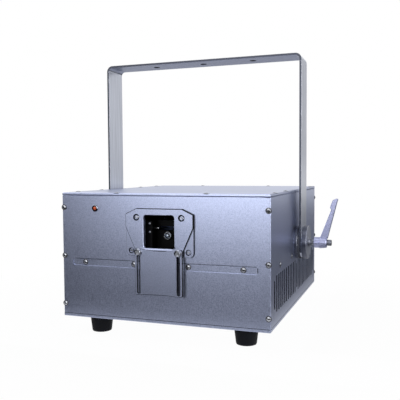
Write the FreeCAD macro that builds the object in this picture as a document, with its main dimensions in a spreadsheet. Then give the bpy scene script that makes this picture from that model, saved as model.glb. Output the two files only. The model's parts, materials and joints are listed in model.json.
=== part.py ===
"""Laser show projector in a plate-built aluminium case, hung or stood on a swivelling U-bracket.

Millimetres. +Z is up, the beam leaves towards -Y, +X is the right-hand side seen from the front.
The origin lies on the floor under the middle of the case.
"""
import FreeCAD
import Part
import Sketcher
import os
import re

# Driving sizes, in millimetres, degrees and counts
SIZES = {
    # Case of flat plates, standing on four feet
    "case_width": 380,
    "case_depth": 456,
    "case_plate": 5,
    "lower_bay": 89.3,
    "upper_bay": 112.7,
    "edge_chamfer": 0.6,
    "foot_height": 33.5,
    "foot_top_radius": 21.5,
    "foot_base_radius": 17.8,
    "foot_side_inset": 52,
    "foot_end_inset": 44.5,
    "foot_recess_radius": 8,
    "foot_recess_depth": 22,
    "foot_sides": 18,
    # Vent slots in the side plates and over the fans
    "vent_end_gap": 30,
    "vent_width": 8,
    "vent_floor_gap": 19.5,
    "vent_deck_gap": 8.8,
    "vent_short_step": 7,
    "vents_per_group": 11,
    # Beam window, standing over the deck, and the groove across the front panel
    "window_width": 56.4,
    "window_height": 56.2,
    "window_low": 25.2,
    "window_radius": 5.5,
    "window_relief": 1,
    "groove_end_gap": 20.5,
    "groove_height": 12.6,
    "groove_depth": 1.2,
    "groove_corner": 3,
    # Layered aperture plates and the sliding mask, measured up from the deck
    "aperture_width": 123.4,
    "aperture_low": 11.2,
    "aperture_high": 92.3,
    "aperture_shoulder": 83,
    "aperture_top_width": 83,
    "aperture_corner": 8,
    "base_thickness": 3.5,
    "guide_thickness": 3,
    "guide_tail_margin": 1.6,
    "guide_tail_high": 23.5,
    "guide_taper_high": 60.5,
    "mask_slot_margin": 4.6,
    "mask_height": 80.4,
    "mask_high": 25,
    "mask_thickness": 3,
    "mask_top_dip": 3.5,
    "mask_bottom_arch": 2,
    "mask_corner": 2.5,
    "mask_slot_width": 5,
    "mask_slot_top": 2.9,
    "mask_slot_bottom": 3.4,
    "slide_gap": 0.2,
    "thumb_spacing": 72.6,
    "thumb_high": 19.1,
    "thumb_shank_radius": 2,
    "thumb_head_radius": 5.6,
    "thumb_head": 6.5,
    "thread_gap": 0.08,
    # Indicator lamp
    "lamp_from_edge": 66.3,
    "lamp_drop": 27,
    "lamp_bezel_radius": 6,
    "lamp_bezel": 2,
    "lamp_barrel_length": 16,
    "lamp_lens_radius": 3.5,
    "lamp_lens_dome": 1.8,
    "lamp_fit": 0.05,
    # U-bracket and its pivots
    "pivot_high": 16,
    "bracket_width": 60,
    "bracket_thickness": 4,
    "bracket_clear": 256.7,
    "bracket_bend_radius": 12,
    "rigging_hole_radius": 6.5,
    "rigging_hole_spacing": 103,
    "disc_radius": 32,
    "spacer_thickness": 5.8,
    "friction_washer_thickness": 3.8,
    "clamp_disc_thickness": 9.4,
    "running_gap": 0.1,
    "stud_radius": 5,
    "stud_clearance": 0.3,
    "stud_fit": 0.08,
    "stud_end_gap": 0.3,
    "collar_radius": 7.7,
    "collar_thickness": 3,
    "stud_neck": 7.7,
    # Clamping lever
    "hub_radius": 10.6,
    "hub_length": 24,
    "hub_web": 11,
    "spring_bore_radius": 6.5,
    "retainer_head_radius": 5.8,
    "retainer_head": 8,
    "retainer_stand_off": 0.9,
    "lever_thickness": 11,
    "lever_edge": 1,
    "lever_root_inner": 8,
    "lever_root_outer": 23.5,
    "lever_reach": 85,
    "lever_tip_inner": 35.3,
    "lever_tip_outer": 45,
    "lever_tip_crown": 3,
    "lever_notch_high": 64.2,
    "lever_notch_inner": 32.7,
    "lever_notch_step": 2.9,
    "lever_notch_rise": 3.5,
    # Optical deck, laser modules and beam line
    "deck_thickness": 10,
    "beam_over_deck": 43.7,
    "beam_behind_front": 24,
    "module_count": 3,
    "module_gap": 6,
    "module_wall_gap": 18,
    "module_scanner_gap": 9,
    "module_length": 95,
    "module_height": 60,
    "module_behind_beam": 50,
    "fin_count": 3,
    "fin_pitch": 24,
    "fin_gap": 10,
    "fin_depth": 14,
    "mirror_post_width": 14,
    "mirror_width": 20,
    "mirror_height": 21,
    "mirror_thickness": 2,
    # Two-axis scanner
    "scanner_width": 68,
    "scanner_left": 44,
    "scanner_nose_width": 25,
    "scanner_height": 70,
    "scanner_front_gap": 5,
    "scanner_depth": 53,
    "scanner_recess": 22,
    "motor_radius": 6.7,
    "motor_length": 32,
    "motor_fit": 0.05,
    "x_motor_from_middle": 2.5,
    "y_motor_over_beam": 13,
    "scan_shaft_radius": 2,
    "scan_shaft_length": 7,
    "x_mirror_width": 8,
    "x_mirror_length": 9,
    "y_mirror_width": 9,
    "y_mirror_length": 26,
    "scan_mirror_thickness": 1.2,
    # Electronics
    "board_thickness": 1.6,
    "standoff_radius": 3,
    "standoff_height": 8,
    "board_inset": 6,
    "board_left": 40,
    "control_board_length": 150,
    "control_wall_gap": 35,
    "control_rear_gap": 58,
    "driver_board_length": 90,
    "driver_board_count": 2,
    "driver_board_gap": 10,
    "driver_wall_gap": 15,
    "driver_front_gap": 48,
    "supply_width": 112,
    "supply_length": 215,
    "supply_height": 50,
    "supply_x": -60,
    "supply_y": -40,
    "supply_cover_step": 22,
    "supply_cover_drop": 14,
    # Cooling fans on the rear panel
    "fan_thickness": 25,
    "fan_spacing": 160,
    "fan_low": 5,
    "fan_head_gap": 4.3,
    "fan_wall": 2,
    "fan_hub_radius": 17,
    "fan_hub_sides": 20,
    "fan_hub_length": 19,
    "fan_back_web": 3,
    "fan_strut_width": 5,
    "fan_running_gap": 0.3,
    "blade_count": 5,
    "blade_thickness": 1.6,
    "blade_root_chord": 15,
    "blade_tip_chord": 20,
    "blade_angle": 40,
    "blade_tip_gap": 2.5,
    "fan_vent_count": 4,
    # Rear panel connectors and controls
    "socket_row": 34.2,
    "socket_edge_left": 15,
    "socket_edge_right": 31,
    "control_drop": 28,
    "inlet_flange_width": 50,
    "inlet_flange_height": 26,
    "inlet_flange": 3,
    "inlet_body_width": 29,
    "inlet_body_height": 21,
    "inlet_body_depth": 18,
    "inlet_recess_width": 24.4,
    "inlet_recess_height": 16.6,
    "inlet_recess_depth": 17,
    "inlet_corner": 3,
    "inlet_pin_width": 2,
    "inlet_pin_height": 4,
    "inlet_pin_length": 14,
    "inlet_pin_spacing": 14,
    "inlet_earth_offset": 4,
    "switch_width": 26,
    "switch_height": 34,
    "switch_flange": 2,
    "switch_lip": 2,
    "switch_wall": 3,
    "switch_depth": 20,
    "rocker_gap": 0.4,
    "rocker_thickness": 5,
    "rocker_rise": 3.5,
    "rocker_valley": 1.2,
    "rocker_taper": 0.6,
    "rocker_pivot_depth": 0.5,
    "rocker_lean": 8,
    "ilda_flange_width": 53,
    "ilda_flange_height": 12.5,
    "ilda_flange": 1.2,
    "ilda_shell_width": 39,
    "ilda_shell_height": 8.4,
    "ilda_shell_reach": 5.8,
    "ilda_shell_wall": 0.6,
    "ilda_shell_slant": 1.4,
    "ilda_body_depth": 9,
    "ilda_face_recess": 0.6,
    "ilda_post_spacing": 47,
    "ilda_post_radius": 2.4,
    "dmx_flange_width": 26,
    "dmx_flange_height": 31,
    "dmx_flange": 2.5,
    "dmx_flange_corner": 3,
    "dmx_back_width": 22,
    "dmx_back_height": 25,
    "dmx_back_depth": 20,
    "dmx_cup_radius": 9.4,
    "dmx_cup_depth": 14,
    "dmx_plug_gap": 1.8,
    "display_from_edge": 40,
    "display_width": 64,
    "display_height": 24,
    "display_rim": 2,
    "button_display_gap": 28,
    "button_pitch": 20,
    "button_width": 9,
    "button_gap": 0.3,
    "button_rise": 3,
    "button_flange": 1.5,
    "button_flange_width": 12,
    "button_seat_gap": 0.2,
    "key_from_edge": 66,
    "key_barrel_radius": 6,
    "key_barrel_gap": 0.08,
    "key_bezel_radius": 12,
    "key_bezel": 3,
    "key_barrel_length": 22,
    "key_blade_width": 7.5,
    "key_blade_thickness": 1.8,
    "key_blade_depth": 16,
    "key_blade_gap": 0.05,
    "key_neck": 2,
    "key_bow_radius": 7.5,
}

doc = FreeCAD.newDocument("laser_show_projector")
sheet = doc.addObject("Spreadsheet::Sheet", "Sizes")
for row, (alias, size) in enumerate(SIZES.items(), start=1):
    sheet.set(f"A{row}", alias)
    sheet.set(f"B{row}", str(size))
    sheet.setAlias(f"B{row}", alias)
doc.recompute()

# Levels and faces that many pieces share
FRONT = "(-case_depth / 2)"
REAR = "(case_depth / 2)"
SIDE = "(case_width / 2)"
INNER_SIDE = "(case_width / 2 - case_plate)"
BASE = "foot_height"
WALL_LOW = "(foot_height + case_plate)"
WALL_TALL = "(lower_bay + deck_thickness + upper_bay)"
ROOF = f"({WALL_LOW} + {WALL_TALL} + case_plate)"
DECK_LOW = f"({WALL_LOW} + lower_bay)"
DECK_TOP = f"({DECK_LOW} + deck_thickness)"
PIVOT = f"({DECK_TOP} + pivot_high)"
BASE_FACE = f"({FRONT} - base_thickness)"
GUIDE_FACE = f"({BASE_FACE} - guide_thickness)"
MASK_FACE = f"({GUIDE_FACE} - slide_gap - mask_thickness)"
BEAM_Y = f"({FRONT} + beam_behind_front)"
BEAM_Z = f"({DECK_TOP} + beam_over_deck)"
INSIDE_REAR = f"({REAR} - case_plate)"
SOCKETS = f"({DECK_TOP} + socket_row)"
CONTROLS = f"({ROOF} - control_drop)"
VENT_PITCH = "((case_depth - 2 * vent_end_gap) / (2 * vents_per_group + 2))"
VENT_HEIGHT = "(lower_bay - vent_floor_gap - vent_deck_gap)"

DIRECTIONS = {
    "+X": FreeCAD.Vector(1, 0, 0),
    "-X": FreeCAD.Vector(-1, 0, 0),
    "+Y": FreeCAD.Vector(0, 1, 0),
    "-Y": FreeCAD.Vector(0, -1, 0),
    "+Z": FreeCAD.Vector(0, 0, 1),
    "-Z": FreeCAD.Vector(0, 0, -1),
}
WORD = re.compile(r"[a-z][a-z_]*[a-z]")
PIECES = {}


# Sizes and expressions

def ref(text):
    """An expression in which each size points at its cell of the sheet."""
    return WORD.sub(lambda word: "Sizes." + word[0] if word[0] in SIZES else word[0], str(text))


def num(text):
    """The present value of an expression, for first guesses and for finding edges."""
    return float(sheet.evalExpression(ref(text)))


def bind(thing, **properties):
    for name, text in properties.items():
        thing.setExpression(name.replace("__", "."), ref(text))


def place(thing, x, y, z, direction="+Z"):
    turn = FreeCAD.Rotation(DIRECTIONS["+Z"], DIRECTIONS[direction])
    thing.Placement = FreeCAD.Placement(FreeCAD.Vector(), turn)
    bind(thing, Placement__Base__x=x, Placement__Base__y=y, Placement__Base__z=z)


def piece(label, thing):
    """Name a finished sub-part."""
    thing.Label = label
    PIECES[label] = thing
    return thing


# Simple solids and how they are joined

def box(name, corner, size):
    thing = doc.addObject("Part::Box", name)
    bind(thing, Length=size[0], Width=size[1], Height=size[2])
    place(thing, *corner)
    return thing


def rod(name, start, direction, radius, length):
    thing = doc.addObject("Part::Cylinder", name)
    bind(thing, Radius=radius, Height=length)
    place(thing, *start, direction)
    return thing


def polygon_rod(name, start, direction, radius, length, sides):
    """A prism over a regular polygon."""
    thing = doc.addObject("Part::Prism", name)
    bind(thing, Circumradius=radius, Height=length, Polygon=sides)
    place(thing, *start, direction)
    return thing


def fuse(name, parts):
    thing = doc.addObject("Part::MultiFuse", name)
    thing.Shapes = parts
    thing.Refine = True
    return thing


def group(name, parts):
    thing = doc.addObject("Part::Compound", name)
    thing.Links = parts
    return thing


def cut(name, base, tools):
    thing = doc.addObject("Part::Cut", name)
    thing.Base = base
    thing.Tool = tools[0] if len(tools) == 1 else fuse(name + "_tools", tools)
    return thing


# Sketched solids

def origin_plane(body, role):
    return next(item for item in body.Origin.OriginFeatures if item.Role == role)


def sketch_on(body, role, level="0"):
    sketch = body.newObject("Sketcher::SketchObject", body.Name + "_sketch")
    sketch.AttachmentSupport = (origin_plane(body, role), [""])
    sketch.MapMode = "FlatFace"
    sketch.setExpression("AttachmentOffset.Base.z", ref(level))
    return sketch


def hold(sketch, item, corner, x, y):
    """Tie one point of a sketch to its place, measured from the sketch's origin."""
    for kind, text in (("DistanceX", x), ("DistanceY", y)):
        index = sketch.addConstraint(Sketcher.Constraint(kind, -1, 1, item, corner, num(text)))
        sketch.setExpression(f"Constraints[{index}]", ref(text))


def closed_outline(sketch, points):
    """Straight runs from point to point and back to the first."""
    places = [FreeCAD.Vector(num(x), num(y), 0) for x, y in points]
    count = len(points)
    first = sketch.GeometryCount
    for index in range(count):
        sketch.addGeometry(Part.LineSegment(places[index], places[(index + 1) % count]))
    for index in range(count):
        following = first + (index + 1) % count
        sketch.addConstraint(Sketcher.Constraint("Coincident", first + index, 2, following, 1))
    for index, (x, y) in enumerate(points):
        hold(sketch, first + index, 1, x, y)


def circle(sketch, x, y, radius):
    middle = FreeCAD.Vector(num(x), num(y), 0)
    item = sketch.addGeometry(Part.Circle(middle, DIRECTIONS["+Z"], num(radius)))
    hold(sketch, item, 3, x, y)
    index = sketch.addConstraint(Sketcher.Constraint("Radius", item, num(radius)))
    sketch.setExpression(f"Constraints[{index}]", ref(radius))


def new_body(name):
    return doc.addObject("PartDesign::Body", name)


PLANES = {"X": "YZ_Plane", "Y": "XZ_Plane", "Z": "XY_Plane"}


def face_level(axis, level):
    """The plane that looks along Y has its normal towards -Y."""
    return f"-({level})" if axis == "Y" else level


def pad(body, axis, start, length, points=None, circles=()):
    """A prism along an axis, from start towards the positive end."""
    level = f"({start}) + ({length})" if axis == "Y" else start
    sketch = sketch_on(body, PLANES[axis], face_level(axis, level))
    if points:
        closed_outline(sketch, points)
    for x, y, radius in circles:
        circle(sketch, x, y, radius)
    feature = body.newObject("PartDesign::Pad", body.Name + "_pad")
    feature.Profile = sketch
    bind(feature, Length=length)
    body.Tip = feature
    return feature


def prism(name, axis, start, length, points):
    body = new_body(name)
    pad(body, axis, start, length, points)
    return body


def soften(body, kind, size, wanted):
    """A fillet or chamfer on the edges whose middle and direction are wanted."""
    doc.recompute()
    base = body.Tip
    edges = []
    for index, edge in enumerate(base.Shape.Edges, start=1):
        if wanted(edge.CenterOfMass, edge.tangentAt(edge.FirstParameter)):
            edges.append(f"Edge{index}")
    feature = body.newObject("PartDesign::" + kind, f"{body.Name}_{kind.lower()}")
    feature.Base = (base, edges)
    bind(feature, **{"Radius" if kind == "Fillet" else "Size": size})
    body.Tip = feature
    return body


def near(value, text):
    return abs(value - num(text)) < 0.01


def along(direction, axis):
    return abs(direction.dot(DIRECTIONS["+" + axis])) > 0.99


def rounded_block(name, axis, start, length, points, radius, kind="Fillet"):
    """A prism whose corners are rounded or cut off."""
    body = prism(name, axis, start, length, points)
    return soften(body, kind, radius, lambda middle, run: along(run, axis))


def rectangle(x, y, width, height):
    """Corners of a rectangle centred on x and standing on y."""
    left = f"({x}) - ({width}) / 2"
    right = f"({x}) + ({width}) / 2"
    top = f"({y}) + ({height})"
    return [(left, y), (right, y), (right, top), (left, top)]


def centred(x, y, width, height):
    return rectangle(x, f"({y}) - ({height}) / 2", width, height)


def revolve(body, plane, axis, points, kind="Revolution"):
    """Turn an outline about one axis of its own sketch."""
    sketch = sketch_on(body, plane)
    closed_outline(sketch, points)
    feature = body.newObject("PartDesign::" + kind, body.Name + "_turned")
    feature.Profile = sketch
    feature.ReferenceAxis = (sketch, [axis])
    feature.Angle = 360
    body.Tip = feature
    return body


def turned_back(name, points, x, z):
    """A solid of revolution about an axis from front to rear: points are depth, radius."""
    body = revolve(new_body(name), "YZ_Plane", "H_Axis", points)
    place(body, x, "0", z)
    return body


def turned_across(name, points, y="0", z=PIVOT):
    """A solid of revolution about an axis from left to right: points are distance, radius."""
    body = revolve(new_body(name), "XZ_Plane", "H_Axis", points)
    place(body, "0", y, z)
    return body


def ring(name, side, start, end, bore, radius):
    """A disc on the pivot axis; start and end are measured outwards."""
    points = [(start, bore), (end, bore), (end, radius), (start, radius)]
    return turned_across(name, [(f"{side} * ({x})", r) for x, r in points])


def shifted(point, direction, distance):
    """A point moved along one axis."""
    axis = "XYZ".index(direction[1])
    moved = list(point)
    moved[axis] = f"({point[axis]}) {direction[0]} ({distance})"
    return tuple(moved)


SIDES = {"left": -1, "right": 1}

# Tapered feet, hollow underneath for the bolt that holds each one

feet = []
for across in (-1, 1):
    for end in (-1, 1):
        x = f"{across} * (case_width / 2 - foot_side_inset)"
        y = f"{end} * (case_depth / 2 - foot_end_inset)"
        rims = []
        for radius, level in (("foot_base_radius", "0"), ("foot_top_radius", "foot_height")):
            rim = doc.addObject("Part::RegularPolygon", "foot_rim")
            bind(rim, Polygon="foot_sides", Circumradius=radius)
            place(rim, x, y, level)
            rims.append(rim)
        cone = doc.addObject("Part::Loft", "foot_cone")
        cone.Sections = rims
        cone.Solid = True
        cone.Ruled = True
        recess = polygon_rod("foot_recess", (x, y, "0"), "+Z", "foot_recess_radius", "foot_recess_depth",
                             "foot_sides / 2")
        feet.append(cut("foot", cone, [recess]))
piece("rubber_feet", group("rubber_feet", feet))

# Bottom plate and top cover

case_outline = centred("0", "0", "case_width", "case_depth")
bottom = prism("bottom_plate", "Z", BASE, "case_plate", case_outline)
piece("bottom_plate", soften(bottom, "Chamfer", "edge_chamfer", lambda middle, run: near(middle.z, BASE)))
cover = prism("top_cover", "Z", f"{ROOF} - case_plate", "case_plate", case_outline)
piece("top_cover", soften(cover, "Chamfer", "edge_chamfer", lambda middle, run: near(middle.z, ROOF)))

# Aperture stack: base plate, guide plate and sliding mask over the beam window

UP = f"{DECK_TOP} + "
window = rounded_block(
    "window_cut", "Y", GUIDE_FACE, "guide_thickness",
    rectangle("0", UP + "window_low", "window_width", "window_height"), "window_radius")
clear_window = prism(
    "clear_window_cut", "Y", BASE_FACE, "base_thickness + case_plate",
    rectangle("0", UP + "window_low - window_relief", "window_width + 2 * window_relief",
              "window_height + 2 * window_relief"))

THUMB_X = "(thumb_spacing / 2)"
THUMB_Z = f"({DECK_TOP} + thumb_high)"
thumb_holes = [
    rod("thumb_hole", (f"{side} * {THUMB_X}", GUIDE_FACE, THUMB_Z), "+Y", "thumb_shank_radius + thread_gap",
        "guide_thickness")
    for side in SIDES.values()
]


def mirrored(points):
    """The same corners on the other side, in the opposite order."""
    return points + [(f"-({x})", z) for x, z in reversed(points)]


MASK_WIDTH = "(thumb_spacing + mask_slot_width + 2 * mask_slot_margin)"
HALF = "aperture_width / 2"
HALF_TOP = "aperture_top_width / 2"
TAIL = f"{MASK_WIDTH} / 2 + guide_tail_margin"
shoulders = [(HALF, UP + "aperture_shoulder"), (HALF_TOP, UP + "aperture_high")]
base_plate = prism(
    "aperture_base_body", "Y", BASE_FACE, "base_thickness", mirrored([(HALF, UP + "aperture_low")] + shoulders))
soften(base_plate, "Fillet", "aperture_corner",
       lambda middle, run: along(run, "Y") and near(middle.z, UP + "aperture_low"))
piece("aperture_base_plate", cut("aperture_base_plate", base_plate, [clear_window]))
guide_plate = prism(
    "aperture_guide_body", "Y", GUIDE_FACE, "guide_thickness",
    mirrored([(TAIL, UP + "aperture_low"), (TAIL, UP + "guide_tail_high"), (HALF, UP + "guide_taper_high")]
             + shoulders))
piece("aperture_guide_plate", cut("aperture_guide_plate", guide_plate, [window] + thumb_holes))

MASK_TOP = f"({DECK_TOP} + mask_high)"
MASK_LOW = f"({MASK_TOP} - mask_height)"
mask_blank = rounded_block(
    "mask_blank", "Y", MASK_FACE, "mask_thickness",
    rectangle("0", MASK_LOW, MASK_WIDTH, "mask_height"), "mask_corner", "Chamfer")
mask_cuts = []
for name, sag, level, sign in (("top", "mask_top_dip", f"{MASK_TOP} - mask_top_dip", "+"),
                               ("bottom", "mask_bottom_arch", f"{MASK_LOW} + mask_bottom_arch", "-")):
    sweep = f"(({MASK_WIDTH} / 2) ^ 2 + {sag} ^ 2) / (2 * {sag})"
    start = ("0", f"{MASK_FACE} - 1", f"{level} {sign} {sweep}")
    mask_cuts.append(rod(f"mask_{name}_curve", start, "+Y", sweep, "mask_thickness + 2"))
for side in (-1, 1):
    x = f"{side} * {THUMB_X}"
    slot_low = f"{MASK_LOW} + mask_slot_bottom + mask_slot_width / 2"
    slot_high = f"{MASK_TOP} - mask_slot_top - mask_slot_width / 2"
    mask_cuts.append(box("mask_slot", (f"{x} - mask_slot_width / 2", f"{MASK_FACE} - 1", slot_low),
                         ("mask_slot_width", "mask_thickness + 2", f"{slot_high} - ({slot_low})")))
    for level in (slot_low, slot_high):
        mask_cuts.append(rod("mask_slot_end", (x, f"{MASK_FACE} - 1", level), "+Y", "mask_slot_width / 2",
                             "mask_thickness + 2"))
piece("beam_mask", cut("beam_mask", mask_blank, mask_cuts))

HEAD_BACK = f"({MASK_FACE} - slide_gap)"
HEAD_FACE = f"({HEAD_BACK} - thumb_head)"
thumb_profile = [
    (BASE_FACE, "0"),
    (BASE_FACE, "thumb_shank_radius"),
    (HEAD_BACK, "thumb_shank_radius"),
    (HEAD_BACK, "thumb_head_radius"),
    (HEAD_FACE, "thumb_head_radius"),
    (HEAD_FACE, "0"),
]
for label, side in SIDES.items():
    piece(f"{label}_thumbscrew", turned_back(f"{label}_thumbscrew", thumb_profile, f"{side} * {THUMB_X}", THUMB_Z))

# Front panel with its groove, and the indicator lamp

LAMP_X = f"(lamp_from_edge - {SIDE})"
LAMP_Z = f"({ROOF} - lamp_drop)"
LAMP_FACE = f"({FRONT} - lamp_bezel)"
LAMP_BORE = "lamp_lens_radius + lamp_fit"
groove = rounded_block(
    "groove_cut", "Y", f"{FRONT} - groove_depth", "2 * groove_depth",
    centred("0", f"{DECK_LOW} + deck_thickness / 2", "case_width - 2 * groove_end_gap", "groove_height"),
    "groove_corner", "Chamfer")
lamp_hole = rod("lamp_hole", (LAMP_X, FRONT, LAMP_Z), "+Y", LAMP_BORE, "case_plate")
wall_outline = rectangle("0", WALL_LOW, "case_width", WALL_TALL)
front = prism("front_panel_body", "Y", FRONT, "case_plate", wall_outline)
piece("front_panel", cut("front_panel", front, [clear_window, groove, lamp_hole]))
bezel_profile = [
    (LAMP_FACE, LAMP_BORE),
    (LAMP_FACE, "lamp_bezel_radius"),
    (FRONT, "lamp_bezel_radius"),
    (FRONT, LAMP_BORE),
]
piece("lamp_bezel", turned_back("lamp_bezel", bezel_profile, LAMP_X, LAMP_Z))
piece("lamp_lens", rod("lamp_lens", (LAMP_X, f"{LAMP_FACE} - lamp_lens_dome", LAMP_Z), "+Y", "lamp_lens_radius",
                       "lamp_lens_dome + lamp_bezel + lamp_barrel_length"))

# Side plates with their rows of vent slots

VENT_LOW = f"{WALL_LOW} + vent_floor_gap"
GROUP_STEP = f"(vents_per_group + 1) * {VENT_PITCH}"


def vent_row(body, face, first, low, height, length, count):
    """One slot cut through the plate and repeated along it."""
    sketch = sketch_on(body, "YZ_Plane", face)
    closed_outline(sketch, rectangle(first, low, "vent_width", height))
    slot = body.newObject("PartDesign::Pocket", body.Name + "_slot")
    slot.Profile = sketch
    bind(slot, Length="case_plate")
    row = body.newObject("PartDesign::LinearPattern", body.Name + "_slots")
    row.Originals = [slot]
    row.Direction = (sketch, ["H_Axis"])
    bind(row, Length=length, Occurrences=count)
    body.Tip = row


for label, side in SIDES.items():
    start = INNER_SIDE if side > 0 else f"-{SIDE}"
    outline = rectangle("0", WALL_LOW, "case_depth - 2 * case_plate", WALL_TALL)
    plate = prism(f"{label}_side_panel", "X", start, "case_plate", outline)
    face = f"{start} + case_plate"
    short_low = f"{VENT_LOW} + vent_short_step"
    short_height = f"{VENT_HEIGHT} - 2 * vent_short_step"
    vent_row(plate, face, f"-({GROUP_STEP})", short_low, short_height, f"2 * {GROUP_STEP}", "3")
    run = f"(vents_per_group - 1) * {VENT_PITCH}"
    for first in (f"{VENT_PITCH} - ({GROUP_STEP})", VENT_PITCH):
        vent_row(plate, face, first, VENT_LOW, VENT_HEIGHT, run, "vents_per_group")
    piece(f"{label}_side_panel", plate)

# Pivots, U-bracket and clamping levers

SPACER_END = f"({SIDE} + spacer_thickness)"
WASHER_END = f"({SPACER_END} + friction_washer_thickness)"
ARM_IN = f"({WASHER_END} + running_gap)"
ARM_OUT = f"({ARM_IN} + bracket_thickness)"
DISC_END = f"({ARM_OUT} + clamp_disc_thickness)"
COLLAR_END = f"({DISC_END} + collar_thickness)"
HUB = f"({COLLAR_END} + stud_neck)"
HUB_END = f"({HUB} + hub_length)"
RETAINER = f"({HUB_END} + retainer_stand_off)"
BRACKET_TOP = f"({ROOF} + bracket_clear)"
STUD_BORE = "stud_radius + stud_clearance"
FITTED_BORE = "stud_radius + stud_fit"

spacers = []
washers = []
clamp_discs = []
for side in SIDES.values():
    spacers.append(ring("pivot_spacer", side, SIDE, SPACER_END, FITTED_BORE, "disc_radius"))
    washers.append(ring("friction_washer", side, SPACER_END, WASHER_END, FITTED_BORE, "disc_radius"))
    clamp_profile = [(ARM_OUT, STUD_BORE), (COLLAR_END, STUD_BORE), (COLLAR_END, "collar_radius"),
                     (DISC_END, "collar_radius"), (DISC_END, "disc_radius"), (ARM_OUT, "disc_radius")]
    clamp_discs.append(turned_across("clamp_disc", [(f"{side} * ({x})", r) for x, r in clamp_profile]))
piece("pivot_spacers", group("pivot_spacers", spacers))
piece("friction_washers", group("friction_washers", washers))
piece("clamp_discs", group("clamp_discs", clamp_discs))

bracket = prism(
    "u_bracket_body", "Y", "-bracket_width / 2", "bracket_width",
    [(f"-{ARM_OUT}", PIVOT), (f"-{ARM_OUT}", BRACKET_TOP), (ARM_OUT, BRACKET_TOP), (ARM_OUT, PIVOT),
     (ARM_IN, PIVOT), (ARM_IN, f"{BRACKET_TOP} - bracket_thickness"),
     (f"-{ARM_IN}", f"{BRACKET_TOP} - bracket_thickness"), (f"-{ARM_IN}", PIVOT)])
soften(bracket, "Fillet", "bracket_bend_radius",
       lambda middle, run: along(run, "Y") and near(middle.z, BRACKET_TOP))
soften(bracket, "Fillet", "bracket_bend_radius - bracket_thickness",
       lambda middle, run: along(run, "Y") and near(middle.z, f"{BRACKET_TOP} - bracket_thickness"))
for start in (ARM_IN, f"-{ARM_OUT}"):
    pad(bracket, "X", start, "bracket_thickness", circles=[("0", PIVOT, "bracket_width / 2")])
bracket_holes = [
    rod("rigging_hole", (f"{step} * rigging_hole_spacing", "0", f"{BRACKET_TOP} - bracket_thickness"), "+Z",
        "rigging_hole_radius", "bracket_thickness")
    for step in (-1, 0, 1)
]
for start in (ARM_IN, f"-{ARM_OUT}"):
    bracket_holes.append(rod("arm_hole", (start, "0", PIVOT), "+X", STUD_BORE, "bracket_thickness"))
piece("u_bracket", cut("u_bracket", bracket, bracket_holes))

screw_profile = [
    (f"{SIDE} + stud_end_gap", "0"),
    (f"{SIDE} + stud_end_gap", "stud_radius"),
    (RETAINER, "stud_radius"),
    (RETAINER, "retainer_head_radius"),
    (f"{RETAINER} + retainer_head", "retainer_head_radius"),
    (f"{RETAINER} + retainer_head", "0"),
]
hub_profile = [
    (HUB, "0"),
    (HUB, "hub_radius"),
    (HUB_END, "hub_radius"),
    (HUB_END, "0"),
]
bore_profile = [
    (f"{HUB} - 1", "0"),
    (f"{HUB} - 1", STUD_BORE),
    (f"{HUB} + hub_web", STUD_BORE),
    (f"{HUB} + hub_web", "spring_bore_radius"),
    (f"{HUB_END} + 1", "spring_bore_radius"),
    (f"{HUB_END} + 1", "0"),
]
arm_outline = [
    ("lever_root_inner", "0"),
    ("lever_root_outer", "0"),
    ("lever_tip_outer - lever_tip_crown / 2", "lever_reach - 2 * lever_tip_crown"),
    ("lever_tip_outer", "lever_reach - lever_tip_crown / 2"),
    ("lever_tip_outer - lever_tip_crown", "lever_reach"),
    ("lever_tip_inner", "lever_reach - lever_tip_crown"),
    ("lever_notch_inner - lever_notch_step", "lever_notch_high + lever_notch_rise"),
    ("lever_notch_inner", "lever_notch_high"),
]
for label, side in SIDES.items():

    def outwards(points, start="0"):
        return [(f"{side} * ({start} + {x})", level) for x, level in points]

    piece(f"{label}_clamp_screw", turned_across(f"{label}_clamp_screw", outwards(screw_profile)))
    lever = turned_across(f"{label}_lever", outwards(hub_profile))
    pad(lever, "Y", "-lever_thickness / 2", "lever_thickness", outwards(arm_outline, HUB))
    soften(lever, "Chamfer", "lever_edge",
           lambda middle, run: not along(run, "Y") and middle.z > num("hub_radius + lever_edge")
           and abs(abs(middle.y) - num("lever_thickness / 2")) < 0.01)
    revolve(lever, "XZ_Plane", "H_Axis", outwards(bore_profile), "Groove")
    piece(f"{label}_lever", lever)

# Optical deck with laser modules and combining mirrors

piece("optical_deck", box(
    "optical_deck", (f"-{INNER_SIDE}", f"{FRONT} + case_plate", DECK_LOW),
    (f"2 * {INNER_SIDE}", "case_depth - 2 * case_plate", "deck_thickness")))

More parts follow.
